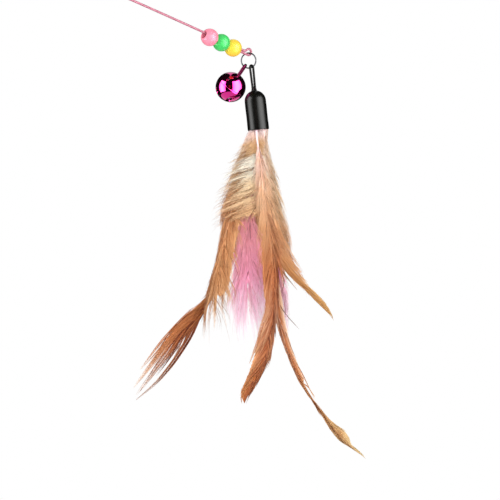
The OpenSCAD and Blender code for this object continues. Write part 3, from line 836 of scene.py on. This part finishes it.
class Feather:
    def __init__(self, row, length, shaft, drift, roll):
        self.row = row
        self.length = length
        self.shaft = shaft
        self.drift = drift
        self.roll = roll
        self.random = np.random.default_rng(spray["seed"] + row)
        self.tubes = Tubes()

    def shaftAt(self, down):
        own = spray["sides"][self.row] * quillPitch
        return own * np.clip(1 - down / spray["merge"], 0, 1) + mixedTable(self.shaft, down, 1)

    def point(self, down, across, deep):
        # into the cap's frame; the blade rolls more towards its tip
        offset = across - self.shaftAt(down)
        share = np.clip(down / self.length, 0, 1.1)
        tilt = np.tan(np.radians(self.roll) * share ** 2)
        fanned = np.maximum(down, 0) / (1 + (np.maximum(down, 0) / spray["fanLength"]) ** 4) ** 0.25
        layer = (self.row - middleRow) * (rowPitch + spray["fanShare"] * fanned)
        y = layer + self.drift * self.length * share ** 2 + offset * tilt + deep
        return np.stack([across, y, -cap["mouth"] - down], -1)

    def addShaft(self):
        down = np.linspace(0, self.length * shaftLook["ends"], shaftLook["stations"])
        path = self.point(down, self.shaftAt(down), 0 * down)
        quillX = spray["sides"][self.row] * quillPitch
        quillY = (self.row - middleRow) * rowPitch
        seat = np.array([(quillX, quillY, -cap["mouth"] + h) for h in spray["seatUp"]])
        path = np.concatenate([seat, path])
        share = np.concatenate([[0, 0], down / down[-1]])
        tip = shaftLook["thin"] / 2
        radius = tip + (shaftLook["thick"] - tip) * (1 - share) ** 6
        self.tubes.add(path[None], radius[None], sides=shaftLook["sides"], down=share[None], along=0.0,
                       barb=0.0, tone=0.5, quill=1.0)

    def addSheet(self, edges, start, end, fill, reach, tone, lift, bend):
        # the vane itself: a thin closed sheet, whose barbs are drawn by the finish and by the strands over it
        stations, sides = sheetLook["stations"], sheetLook["sides"]
        down = np.linspace(start, end, stations)[:, None]
        turn = 2 * np.pi * (np.arange(sides) + 0.5) / sides
        share = np.cos(turn)[None]
        left, right = mixedTable(edges, down, 1), mixedTable(edges, down, 2)
        close = np.clip((down - start) / sheetLook["close"], 0.3, 1)
        close = close * np.clip((end - down) / sheetLook["taper"], 0, 1) ** 0.6
        ragged = 1 + sheetLook["ragged"] * self.random.normal(0, 1, (stations, 1))
        across = (left + right) / 2 + (right - left) / 2 * fill * close * ragged * share
        hang = (1 - (1 - np.abs(share)) ** (1 / bend)) ** lift
        barb = down - (reach[0] + (reach[1] - reach[0]) * (down - start) / (end - start)) * hang
        fold = sheetLook["fold"] * np.sin(barb * 1.7 + self.row) * np.abs(share)
        values = dict(down=down / self.length, along=np.abs(share), quill=0.0,
                      barb=sheetLook["barbShare"] * barb + 40 * (share > 0),
                      tone=(tone[0] + tone[1]) / 2 + (tone[1] - tone[0]) / 2 * share)
        deep = sheetLook["thick"] * np.sin(turn) + fold
        self.tubes.addRings(self.point(down + 0 * share, across, deep)[None], values)

    def addLocks(self, curves, half, each, width, tones, short, depth, wave, early=0.15, stations=9,
                 gather=1.0):
        # strands that run along each lock's curve, spread about it and drawn together at its tip
        random = self.random
        count, fine = curves.shape[:2]
        lock = np.repeat(np.arange(count), each)
        total = len(lock)
        begin = random.uniform(0, early, total)
        end = 1 - short * random.uniform(0, 1, total) ** 1.5
        u = begin[:, None] + (end - begin)[:, None] * np.linspace(0, 1, stations)
        at = u * (fine - 1)
        low = np.minimum(at.astype(int), fine - 2)
        part = (at - low)[..., None]
        own = curves[lock[:, None], low] * (1 - part) + curves[lock[:, None], low + 1] * part
        way = np.gradient(own[..., :2], axis=1)
        way /= np.maximum(np.linalg.norm(way, axis=-1, keepdims=True), 1e-9)
        spread = np.clip(0.4 + 2 * u, 0, 1) * (1 - gather * np.clip(u, 0, 1) ** 4) + strandLook["open"]
        offset = random.uniform(-1, 1, total)[:, None] * half * spread
        phase = random.uniform(0, 2 * np.pi, total)[:, None]
        offset = offset + wave * np.sin(phase + u * random.uniform(*strandLook["waves"], total)[:, None]) * u
        down = own[..., 0] - way[..., 1] * offset
        across = own[..., 1] + way[..., 0] * offset
        deep = own[..., 2] + depth * random.normal(0, 0.5, total)[:, None] * (0.5 + 0.5 * u)
        t = np.linspace(0, 1, stations)
        root = strandLook["root"]
        taper = root + (1 - root) * np.clip(t / strandLook["fullAt"], 0, 1)
        taper = taper * (1 - strandLook["thinning"] * t ** strandLook["thinPower"])
        radius = width / 2 * random.uniform(*strandLook["widths"], total)[:, None] * taper
        tone = np.broadcast_to(tones, (count,))[lock] + random.normal(0, strandLook["contrast"], total)
        barb = random.uniform(0, 500, count)[lock] + random.uniform(0, 0.5, total)
        self.tubes.add(self.point(down, across, deep), radius, flat=strandLook["flat"], along=u, quill=0.0,
                       down=np.clip(down / self.length, 0, 1), tone=np.clip(tone, 0, 1)[:, None],
                       barb=barb[:, None])

    def addVane(self, edges, start, end, reach, locks, each, half, width, depth, stray=0.1, inner=0.04,
                lift=1.15, bend=1.7, tone=(0.5, 0.5), contrast=0.12, short=0.45, wave=0.15, clear=0.14,
                sides=(-1, 1), apart=0.2, gather=0.5, sheet=None, hairs=0):
        # locks that leave the shaft on both sides and hang towards the vane's edges
        if sheet:
            self.addSheet(edges, *sheet, reach, tone, lift, bend)
        random = self.random
        down0 = start + (end - start) * (np.arange(locks) + random.uniform(0, 1, locks)) / locks
        side = random.choice(sides, locks)
        share = (down0 - start) / (end - start)
        length = (reach[0] + (reach[1] - reach[0]) * share) * random.uniform(*vaneLook["lengths"], locks)
        fill = random.uniform(inner, 1.0, locks) ** 0.75
        loose = random.uniform(0, 1, locks) < stray
        fill = np.where(loose, random.uniform(*vaneLook["strays"], locks), fill)
        u = np.linspace(0, 1, vaneLook["steps"])
        down = down0[:, None] + length[:, None] * u ** lift
        edge = np.where(side[:, None] < 0, mixedTable(edges, down, 1), mixedTable(edges, down, 2))
        first = apart * random.uniform(0, 1, locks)[:, None] ** 1.5
        out = fill[:, None] * (first + (1 - first) * (1 - (1 - u) ** bend))
        across = self.shaftAt(down) * (1 - out) + edge * out
        face = np.where(random.uniform(0, 1, locks) < vaneLook["frontShare"], -1, 1)
        swell = np.where(face < 0, 1, vaneLook["backSwell"]) * depth * np.abs(random.normal(0, 0.6, locks))
        deep = (face * clear)[:, None] + (face * swell)[:, None] * u
        tones = np.where(side < 0, tone[0], tone[1]) + random.normal(0, contrast, locks)
        curves = np.stack([down, across, deep], -1)
        self.addLocks(curves, half, each, width, tones, short=short, depth=0.25 * depth, wave=wave,
                      gather=gather)
        if hairs:
            self.addVane(edges, start, end, reach, hairs, 1, depth=depth, lift=lift, bend=bend, wave=wave,
                         clear=clear + vaneLook["hairAbove"], sides=sides, apart=apart, gather=gather,
                         **hairLook)  # single hairs, over the locks


def lockCurve(points):
    # a smooth curve through given points (across, down), evenly stepped
    rows = np.array(points, float)
    lengths = np.concatenate([[0], np.cumsum(np.linalg.norm(np.diff(rows, axis=0), axis=1))])
    at = np.linspace(0, lengths[-1], strandLook["curveSteps"])
    across = mixedTable(list(zip(lengths, rows[:, 0])), at, 1)
    down = mixedTable(list(zip(lengths, rows[:, 1])), at, 1)
    return np.stack([down, across, 0 * at - 0.15], -1)[None]


# What a barb's streak and the dye's patches do, how light all barbs are, and what a strand's tone does to
# its colour, from its darkest to its full dye; the dark tones are partly the barbs' own, partly painted shade
plumage = dict(streakShift=0.14, patchShift=0.12, streakLight=0.16, patchLight=0.2, light=0.84, along=1.3,
               tones=[(0.0, (0.2, 0.1, 0.06)), (0.3, (0.68, 0.54, 0.47)), (0.54, (1.0, 1.0, 1.0))])


def featherFinish(name, root, tips, quill, streaks):
    # root, tips and quill are stops (share of the way down, colour) for the barbs' roots, their ends and
    # the quill; streaks is how much neighbouring barbs differ
    finish = Finish(name)
    down, along, barb, tone, isQuill = (finish.value(v) for v in ("down", "along", "barb", "tone", "quill"))
    streak = finish.node("TexNoise", dict(noise_dimensions="1D"), {"W": barb, "Scale": 1.3, "Detail": 1.5})
    patch = finish.noise(330.0, 2.0)
    place = down + (streak - 0.5) * plumage["streakShift"] + (patch - 0.5) * plumage["patchShift"]
    inner = finish.ramp(place, [(p, colour(*c)) for p, c in root])
    outer = finish.ramp(place, [(p, colour(*c)) for p, c in tips])
    dyed = finish.mixed(along ** plumage["along"], inner, outer)
    # a low tone darkens a strand: partly the barbs' own darker tone, partly painted shade where a blade
    # twists edge-on or lies beside a hackle's edge
    toneAndShade = finish.ramp(tone + (streak - 0.5) * streaks, [(p, c + (1.0,)) for p, c in plumage["tones"]])
    light = streak * plumage["streakLight"] + patch * plumage["patchLight"] + plumage["light"]
    shaded = finish.scaled(finish.mixed(1.0, dyed, toneAndShade, "MULTIPLY"), light)
    stem = finish.ramp(down, [(p, colour(*c)) for p, c in quill])
    shade = finish.mixed(isQuill, shaded, stem)
    return finish.surface(Base_Color=shade, Roughness=0.62 - isQuill * 0.2, Specular_IOR_Level=0.12)


# The stops of each kind of feather: barbs at their roots, barbs at their ends, quill, and streaks
cream, straw, tan = (252, 242, 224), (242, 220, 184), (234, 192, 144)
pinkWhite, pinkSoft = (255, 240, 248), (254, 186, 206)
quillPale = [(0.0, (244, 214, 222)), (0.05, (240, 212, 210)), (0.1, (226, 172, 150)),
             (0.4, (204, 144, 104)), (1.0, (130, 60, 30))]
quillCream = [(0.0, (236, 204, 198)), (0.3, (240, 206, 176)), (1.0, (220, 180, 140))]
finishes = dict(
    brown=([(0.08, (250, 218, 206)), (0.22, (240, 196, 158)), (0.4, (222, 160, 112)),
            (0.52, (194, 118, 70)), (0.62, (176, 98, 52)), (0.8, (172, 92, 48)), (1.0, (166, 98, 50))],
           [(0.08, (250, 220, 206)), (0.28, (228, 182, 136)), (0.42, (212, 152, 104)),
            (0.55, (196, 124, 76)), (0.74, (226, 182, 146)), (0.88, (214, 156, 108)),
            (1.0, (182, 114, 60))],
           quillPale, 0.85),
    rust=([(0.2, tan), (0.45, (176, 104, 56)), (0.8, (156, 86, 44)), (1.0, (150, 82, 44))],
          [(0.2, tan), (0.5, (200, 134, 80)), (0.78, (196, 126, 78)), (0.9, (226, 180, 144)),
           (1.0, (238, 202, 174))],
          quillPale, 0.95),
    gold=([(0.2, tan), (0.5, (232, 170, 122)), (0.75, (204, 140, 84)), (1.0, (198, 152, 92))],
          [(0.2, straw), (0.5, (250, 204, 160)), (0.75, (222, 168, 110)), (1.0, (208, 168, 106))],
          quillPale, 0.75),
    brownGold=([(0.2, tan), (0.5, (184, 112, 64)), (0.75, (170, 100, 56)), (0.9, (186, 136, 84)),
                (1.0, (200, 174, 126))],
               [(0.2, straw), (0.6, (234, 200, 172)), (0.8, (208, 154, 102)), (1.0, (202, 182, 138))],
               quillPale, 0.4),
    tan=([(0.0, (238, 208, 202)), (0.2, (240, 210, 168)), (0.38, (224, 160, 108)), (0.5, (216, 144, 92)),
          (0.8, (214, 148, 94)), (1.0, (222, 164, 112))],
         [(0.0, cream), (0.25, (240, 206, 160)), (0.45, (226, 174, 124)), (0.8, (220, 168, 116)),
          (1.0, (228, 186, 142))],
         quillCream, 0.9),
    peach=([(0.0, (250, 218, 212)), (0.15, (250, 214, 190)), (0.5, (246, 208, 170)),
            (0.75, (232, 176, 126)), (1.0, (220, 152, 98))],
           [(0.0, cream), (0.3, (248, 218, 190)), (0.6, (242, 204, 162)), (0.8, (232, 176, 124)),
            (1.0, (226, 162, 110))],
           quillCream, 0.8),
    beige=([(0.0, (240, 208, 200)), (0.2, (232, 200, 158)), (0.5, (238, 198, 150)),
            (0.7, (240, 190, 138)), (1.0, (238, 164, 112))],
           [(0.0, cream), (0.2, (244, 230, 204)), (0.6, (242, 222, 190)), (0.8, (246, 208, 168)),
            (1.0, (244, 182, 134))],
           quillCream, 0.9),
    cream=([(0.0, (250, 224, 222)), (0.1, (242, 208, 186)), (0.15, (224, 178, 130)),
            (0.25, (222, 178, 130)), (0.31, (255, 250, 234)), (0.46, (255, 244, 220)),
            (0.6, (246, 216, 174)), (1.0, (222, 168, 118))],
           [(0.0, (250, 226, 224)), (0.1, (242, 212, 190)), (0.16, (228, 186, 138)),
            (0.27, (228, 192, 146)), (0.32, (255, 255, 246)), (0.48, (255, 248, 228)),
            (0.62, (248, 222, 182)), (1.0, (224, 174, 124))],
           quillCream, 0.5),
    pink=([(0.0, pinkSoft), (0.36, (254, 166, 170)), (0.56, (255, 170, 184)), (0.76, (254, 168, 202)),
           (1.0, (255, 200, 228))],
          [(0.0, pinkWhite), (0.36, (255, 180, 188)), (0.56, (255, 178, 194)), (0.72, (254, 178, 206)),
           (0.86, pinkWhite), (1.0, (255, 252, 254))],
          [(0.0, (240, 206, 204)), (0.3, (240, 160, 184)), (1.0, (244, 170, 196))], 0.7),
)
downy = dict(half=0.34, width=0.11, each=8)
sleek = dict(half=0.22, width=0.2, each=3, depth=0.12, stray=0.02, inner=0.3, bend=1.5, lift=1.05,
             short=0.2, wave=0.02, contrast=0.07, apart=0.15, gather=1.0)
whisker = dict(half=0.15, width=0.1, each=1, depth=1.4, stray=0.65, inner=0.9, short=0.1, wave=0.4,
               tone=(0.15, 0.15))
collar = dict(downy, start=-2, end=3, reach=(3.5, 4.5), locks=60, depth=0.5, stray=0.0, bend=4,
              sheet=(-2, 6, 0.86),
              edges=[(-2, -2.1, 2.1), (0, -3.1, 2.9), (2, -4.5, 2.6), (4, -5.3, 2.4), (8, -7.4, 2.4)])
leftOutline = [(0, -3.2, 0), (2, -5.2, 0), (5, -6.2, 0), (9, -8.7, 0), (13, -10.8, 0), (17, -12.2, 0),
               (21.7, -14, 0), (26, -15, 0), (32, -15.4, 0), (37, -17, 0), (42, -18.6, 0), (47, -20.8, 0),
               (51, -22.4, 0), (58, -24, 0)]
rightOutline = [(0, 0, 2.8), (4, 0, 2.3), (8, 0, 2.6), (14, 0, 3.7), (20, 0, 4.5), (27, 0, 4.8),
                (32, 0, 5.8), (42, 0, 6.1), (47, 0, 8.2), (54, 0, 9)]
feathers = dict(
    hackle_centre=dict(row=0, length=87.6, drift=0.05, roll=-15, slot="brown_hackle", finish="brown",
        shaft=[(0, -0.9), (3, -0.95), (10, -0.5), (20, -0.35), (33, -0.3), (44, 0.3), (52, -0.2),
               (61, -1.8), (70, -3.9), (76, -6.4), (81, -10), (87.6, -14.7)],
        vanes=[dict(sleek, start=38, end=81, reach=(13, 7), locks=150, tone=(0.5, 0.06),
                    sheet=(37, 88.6, 0.86), hairs=70,
                    edges=[(30, -3.5, 2.2), (38, -3.5, 2), (46, -4.2, 1.6), (53, -4.5, 0.9),
                           (59.7, -4.6, -0.2), (64, -6.2, -1.2), (67.3, -7.8, -1.9), (70.1, -8.9, -2.7),
                           (73, -9.8, -3.5), (76, -11.1, -4.8), (79.8, -13, -7.4), (82, -14, -8.9),
                           (84.5, -15.4, -10.7), (86.5, -15.8, -12.4), (88.6, -15.2, -13.6)]),
               dict(downy, start=5, end=40, reach=(9, 13), locks=110, depth=0.5, tone=(0.62, 0.36),
                    sheet=(6, 42, 0.45), hairs=50,
                    edges=[(5, -1.4, 0.4), (9, -2.6, 0.7), (14, -3.1, 1.2), (20, -3.4, 1.6),
                           (35, -3.9, 3), (48, -4.4, 3), (58, -4.6, 1)])],
        locks=[(0.1, 8, 0.0, [(0.4, 43.1), (2, 46.6), (2.8, 50), (2.4, 52.2), (1.2, 54.1)]),
               (0.4, 14, 0.8, [(-2.4, 52), (-4.6, 60), (-7.8, 67.2)]),
               (0.4, 14, 0.5, [(-5, 62), (-8.4, 70), (-11.6, 76)])]),
    down_front=dict(row=1, length=30.6, slot="cream_down", finish="cream",
        shaft=[(0, 0), (10, -1.2), (20, -2.2), (30.6, -3.2)],
        vanes=[dict(downy, start=0.3, end=27, reach=(2, 3.4), locks=385, hairs=50, depth=0.8,
                    tone=(0.64, 0.64), contrast=0.08,
                    half=0.4, wave=0.24, stray=0.1, lift=1.5, bend=1.35,
                    edges=[(0, -3.2, 0.9), (2, -4.6, 1), (4, -5.4, 1), (8, -8, 1.2), (12, -10.6, 1.2),
                           (16, -11.8, 1), (20, -13.2, 0.8), (24, -13.9, 0.4), (28, -14, -0.4),
                           (31, -12, -1.6)]),
               dict(whisker, start=6, end=28, reach=(1.5, 3.5), locks=120, lift=1.5, edges=leftOutline,
                    sides=(-1,)), collar]),
    down_left=dict(row=2, length=59.5, slot="tan_down", finish="tan",
        shaft=[(0, 0), (6.5, -3.4), (14, -7.2), (22, -10.6), (30, -13.3), (38, -16.1), (46, -19),
               (54, -22.2), (59.5, -24.1)],
        vanes=[dict(downy, start=0.3, end=50, reach=(7, 11), locks=330, hairs=110, depth=1.2,
                    stray=0.08, sheet=(0, 53, 0.6),
                    edges=[(0, -3.2, 0), (2, -5, -0.6), (4, -6, -1.5), (10, -9.6, -2.6),
                           (18, -12.6, -4.4), (24, -14, -6), (30, -15.6, -8.2), (36, -17, -10.2),
                           (42, -18.8, -12), (48, -21.4, -13.2), (53, -22.8, -14.2), (60, -24.5, -17)]),
               dict(whisker, start=14, end=52, reach=(8, 12), locks=200, edges=leftOutline, sides=(-1,)),
               dict(whisker, start=40, end=54, reach=(7, 11), locks=160, stray=0.0, inner=0.1,
                    edges=[(40, -18, -11), (48, -21.6, -13), (54, -23.4, -14), (66, -25.5, -16)])]),
    plume_pink=dict(row=3, length=65, slot="pink_plume", finish="pink",
        shaft=[(0, 0), (14, -1.8), (24, -4.6), (36, -7.6), (50, -9.2), (65, -10.5)],
        vanes=[dict(downy, start=19, end=53, reach=(9, 15), locks=320, hairs=60, depth=1.4,
                    tone=(0.66, 0.6), sheet=(22, 50, 0.66),
                    edges=[(0, -3, 1), (12, -5, -3), (20, -7, -5.4), (25, -8.2, -5.4), (28, -9.2, -4.6),
                           (32, -10.4, -3.8), (38, -12.4, -1.8), (43, -13.4, -1.2), (50, -14.8, -1.6),
                           (58, -15.4, -3.4), (69, -14, -6)]),
               dict(whisker, start=38, end=58, reach=(10, 14), locks=260, stray=0.1, inner=0.1,
                    tone=(0.75, 0.75),
                    edges=[(36, -12, -2.8), (43, -13.6, -3), (50, -15, -3.4), (58, -15.6, -4),
                           (70, -14.5, -5)])],
        locks=[(0.25, 10, 0.9, [(-7.2, 26), (-8.2, 32.5), (-10.5, 35.5), (-12.9, 38.1), (-16.7, 38.9)]),
               # painted shadow: these four thin dark locks put a dark red shade on the plume beside the front
               # hackle's edge
               (0.08, 6, 0.0, [(-6, 40), (-6.6, 43), (-7.1, 46.4)]),
               (0.08, 6, 0.0, [(-7.6, 44), (-9.6, 48.4), (-12.2, 52)]),
               (0.08, 6, 0.0, [(-6.6, 46), (-6.4, 51), (-5.4, 56)]),
               (0.08, 6, 0.1, [(-5.8, 47), (-5.4, 52), (-4.3, 55.6)])]),
    down_middle=dict(row=4, length=41.1, slot="tan_down", finish="peach",
        shaft=[(0, 0), (7, -1.2), (15, -1.4), (23, -1.6), (31, -1.4), (41, -0.6)],
        vanes=[dict(downy, start=0, end=34, reach=(8, 11), locks=250, hairs=70, depth=1.2,
                    sheet=(0, 38, 0.66),
                    edges=[(0, -3.2, 2.8), (2, -5, 2.6), (6, -4.5, 2.2), (15, -5.5, 2.8), (23, -6, 3.4),
                           (31, -5.2, 4), (38, -4, 4.6), (46, -3, 5)]), collar]),
    hackle_left=dict(row=5, length=83.4, drift=-0.06, roll=30, slot="brown_hackle", finish="rust",
        shaft=[(0, 0), (12.5, -4), (29, -9.5), (42, -15.6), (52.5, -21), (58.4, -25.9), (63.4, -32.1),
               (68.4, -37.1), (73.4, -41.4), (78.4, -45.7), (83.4, -49.5)],
        vanes=[dict(sleek, start=38, end=60, reach=(9, 11), locks=120, tone=(0.66, 0.04),
                    sheet=(39, 66, 0.86), hairs=60,
                    edges=[(40, -16.5, -14.6), (46, -18.8, -17), (49.1, -20.4, -18.8),
                           (52.1, -22.9, -20.6), (54.4, -25.6, -22.2), (57, -29.6, -23.8),
                           (59.5, -33, -25.4), (62, -35.6, -27.4), (65, -38.4, -29.8),
                           (68.3, -41.4, -32.1), (72, -44.6, -35), (76, -47.4, -39.4), (80, -49.6, -43.6),
                           (83.6, -50, -49.4)])],
        locks=[(0.8, 34, 0.04, [(-22, 52), (-26, 58.6), (-30, 65), (-36.2, 72.6), (-42.6, 78.8),
                                (-49.6, 83.6)]),
               (0.7, 24, 0.08, [(-25, 55), (-29.6, 61), (-34, 67), (-38.6, 72.4), (-42.4, 76.7)]),
               (0.9, 32, 0.45, [(-26, 56), (-31.6, 62.6), (-37.4, 69.2), (-43.5, 75.8), (-49.7, 82.4)]),
               (0.9, 32, 0.8, [(-27, 56), (-33, 62), (-38.8, 68), (-44.6, 74), (-50.1, 79.8)]),
               (0.9, 28, 0.72, [(-27.6, 55.4), (-34, 61.4), (-38.8, 65.6), (-43, 69.8), (-47.1, 73.8)]),
               (0.12, 10, 0.0, [(-25, 55), (-31, 58.6), (-36, 62.6), (-40.6, 68.3)]),
               (0.12, 12, 0.0, [(-27, 58.6), (-32, 64), (-36.5, 70.4), (-41, 75.6)]),
               (0.12, 12, 0.0, [(-29, 60), (-36, 66.6), (-42, 73), (-46, 78.6)])]),
    hackle_gold=dict(row=6, length=63.8, roll=-20, slot="golden_hackle", finish="gold",
        shaft=[(0, 0), (20, 0), (35, 0.6), (41, 1.9), (45, 4), (50, 7), (54, 10.5), (59, 13.9),
               (63.8, 17.3)],
        vanes=[dict(sleek, start=30, end=58, reach=(10, 5.5), locks=120, tone=(0.4, 0.62),
                    sheet=(39, 64.2, 0.82), hairs=40,
                    edges=[(34, -0.4, 4), (40, 0.6, 5), (44, 1.6, 5.6), (47.3, 3.8, 7), (50, 6, 8.7),
                           (52, 8, 10.2), (55.2, 10.4, 13), (58.5, 13.1, 15.6), (61.5, 15.6, 16.8),
                           (64, 17.3, 17.5)])],
        locks=[(0.2, 16, 0.02, [(0.4, 38), (0.8, 42.5), (2.9, 47.3), (5.2, 50.9), (7, 53.6)]),
               (0.4, 16, 0.6, [(2, 38), (4.4, 43.4), (6.8, 46.2), (9, 48)]),
               (0.3, 12, 0.75, [(3, 40), (5.6, 44.6), (8.4, 49), (11.2, 53.2)]),
               (0.1, 9, 0.7, [(3.8, 35), (6.2, 41), (8, 45.1)]),
               (0.1, 9, 0.55, [(3.2, 38), (6, 44), (9.3, 48)]),
               (0.1, 9, 0.35, [(2.6, 40), (5.5, 46), (8.6, 50.2)]),
               (0.08, 7, 0.75, [(5, 44), (7.6, 48), (10.6, 51.4)])]),
    down_right=dict(row=7, length=47.5, slot="tan_down", finish="beige",
        shaft=[(0, 0), (7, 0.8), (15, 1.6), (23, 2), (32, 2.7), (40, 3.6), (47.5, 4.6)],
        vanes=[dict(downy, start=0, end=38, reach=(8, 12), locks=280, hairs=110, depth=1.2, stray=0.08,
                    sheet=(0, 41, 0.66),
                    edges=[(0, -0.5, 2.8), (4, -1, 2.3), (8, -1, 2.6), (12, -1, 3.2), (16, -1, 4.2),
                           (22, -1.4, 4.7), (28, -1.4, 5.2), (33, -1, 6), (40, 0, 6), (45, 1.2, 6.6),
                           (50, 3, 7.6)]),
               dict(whisker, start=4, end=42, reach=(8, 12), locks=170, edges=rightOutline, sides=(1,),
                    tone=(0.3, 0.3)), collar]),
    hackle_right=dict(row=8, length=110.6, drift=0.03, roll=-30, slot="golden_hackle", finish="brownGold",
        shaft=[(0, 0), (17, 0.4), (33, 0.5), (53, -0.3), (63, -0.2), (69, 0.6), (75, 2.4), (82, 4.6),
               (88.5, 7.5), (97, 12.2), (104, 16.3), (110.6, 23)],
        # painted shade: the blade's left half takes the darker tone, for the shade along its left edge
        vanes=[dict(sleek, start=44, end=105, reach=(9, 5), locks=100, tone=(0.24, 0.62),
                    sheet=(44, 111, 0.97), hairs=40,
                    edges=[(46, -1, 1.2), (56, -1.2, 1.6), (62, -1.1, 1.8), (65.6, -0.8, 2.1),
                           (70, 0.1, 2.7), (73, 0.9, 3.2), (77.2, 2, 4.3), (79.9, 2.9, 5),
                           (82.6, 3.8, 5.9), (84.4, 4.6, 5.4), (87, 6, 6.6), (90, 7.6, 8.2),
                           (93, 9, 10.2), (96.6, 11, 12.7), (99, 12, 15.2), (101.1, 13.2, 17.3),
                           (103.2, 14.4, 18.6), (104.8, 16.1, 18.8), (106.2, 17.9, 19.3),
                           (108.3, 20.3, 21.3), (111, 23.1, 23.4)])],
        # painted shade: this first, darkest lock is the dark strip along the shaft where the blade twists
        # edge-on
        locks=[(0.15, 16, 0.0, [(4, 82), (6, 86), (8.2, 90.6), (11, 95.6), (13.6, 100.4)]),
               (0.15, 8, 0.6, [(3.6, 76), (5.6, 81), (6.8, 84.4), (8.8, 89.9)]),
               (0.12, 6, 0.7, [(5.6, 83), (5.4, 84), (6.2, 84.6), (7, 85.4), (8.8, 89)]),
               (0.06, 6, 0.0, [(1.5, 66.3), (2.6, 71), (4.3, 76.5)]),
               (0.06, 6, 0.05, [(0.3, 56.3), (1.3, 59), (3, 61.9), (6.1, 66.2)])]),
    plume_pink_back=dict(row=9, length=63.7, slot="pink_plume", finish="pink",
        shaft=[(0, 0), (23, -0.3), (32, -0.3), (40, -0.1), (50, 1.2), (57, 2.2), (63.7, 1.8)],
        vanes=[dict(downy, start=12, end=54, reach=(9, 13), locks=150, depth=1.2, sheet=(14, 54, 0.6),
                    edges=[(18, -2, 1.4), (26, -3, 2), (34, -3.4, 2.6), (42, -2.6, 3), (50, -1.4, 3.4),
                           (58, 0, 3.6), (66, 1, 3)])]),
    down_back=dict(row=10, length=45, slot="cream_down", finish="cream",
        shaft=[(0, 0), (7, -1.8), (15, -2.9), (23, -3.9), (32, -5.3), (45, -6.7)],
        vanes=[dict(downy, start=0, end=36, reach=(8, 11), locks=340, depth=1.4, sheet=(0, 30, 0.5),
                    hairs=90,
                    edges=[(0, -3.2, 2.6), (7, -6.5, 2.2), (15, -9.5, 3), (23, -10.5, 3),
                           (32, -11.5, 1.5), (40, -11, 0), (50, -9, -2)]), collar]),
)


def feathersMade():
    materials = {name: featherFinish(name + "_barbs", *looks) for name, looks in finishes.items()}
    for node, f in feathers.items():
        feather = Feather(f["row"], f["length"], f["shaft"], f.get("drift", 0), f.get("roll", 0))
        feather.addShaft()
        for vane in f["vanes"]:
            feather.addVane(**vane)
        for half, strands, tone, points in f.get("locks", []):
            feather.addLocks(lockCurve(points), half, strands, tones=tone, **combLook)
        words = node.split("_")
        name = words[0] + "".join(w.title() for w in words[1:])
        piece = feather.tubes.build(name, sprayPlace, "lure", materials[f["finish"]], f["slot"], [node])
        print("feather", name, len(piece.data.loops) - 2 * len(piece.data.polygons), "triangles")


feathersMade()
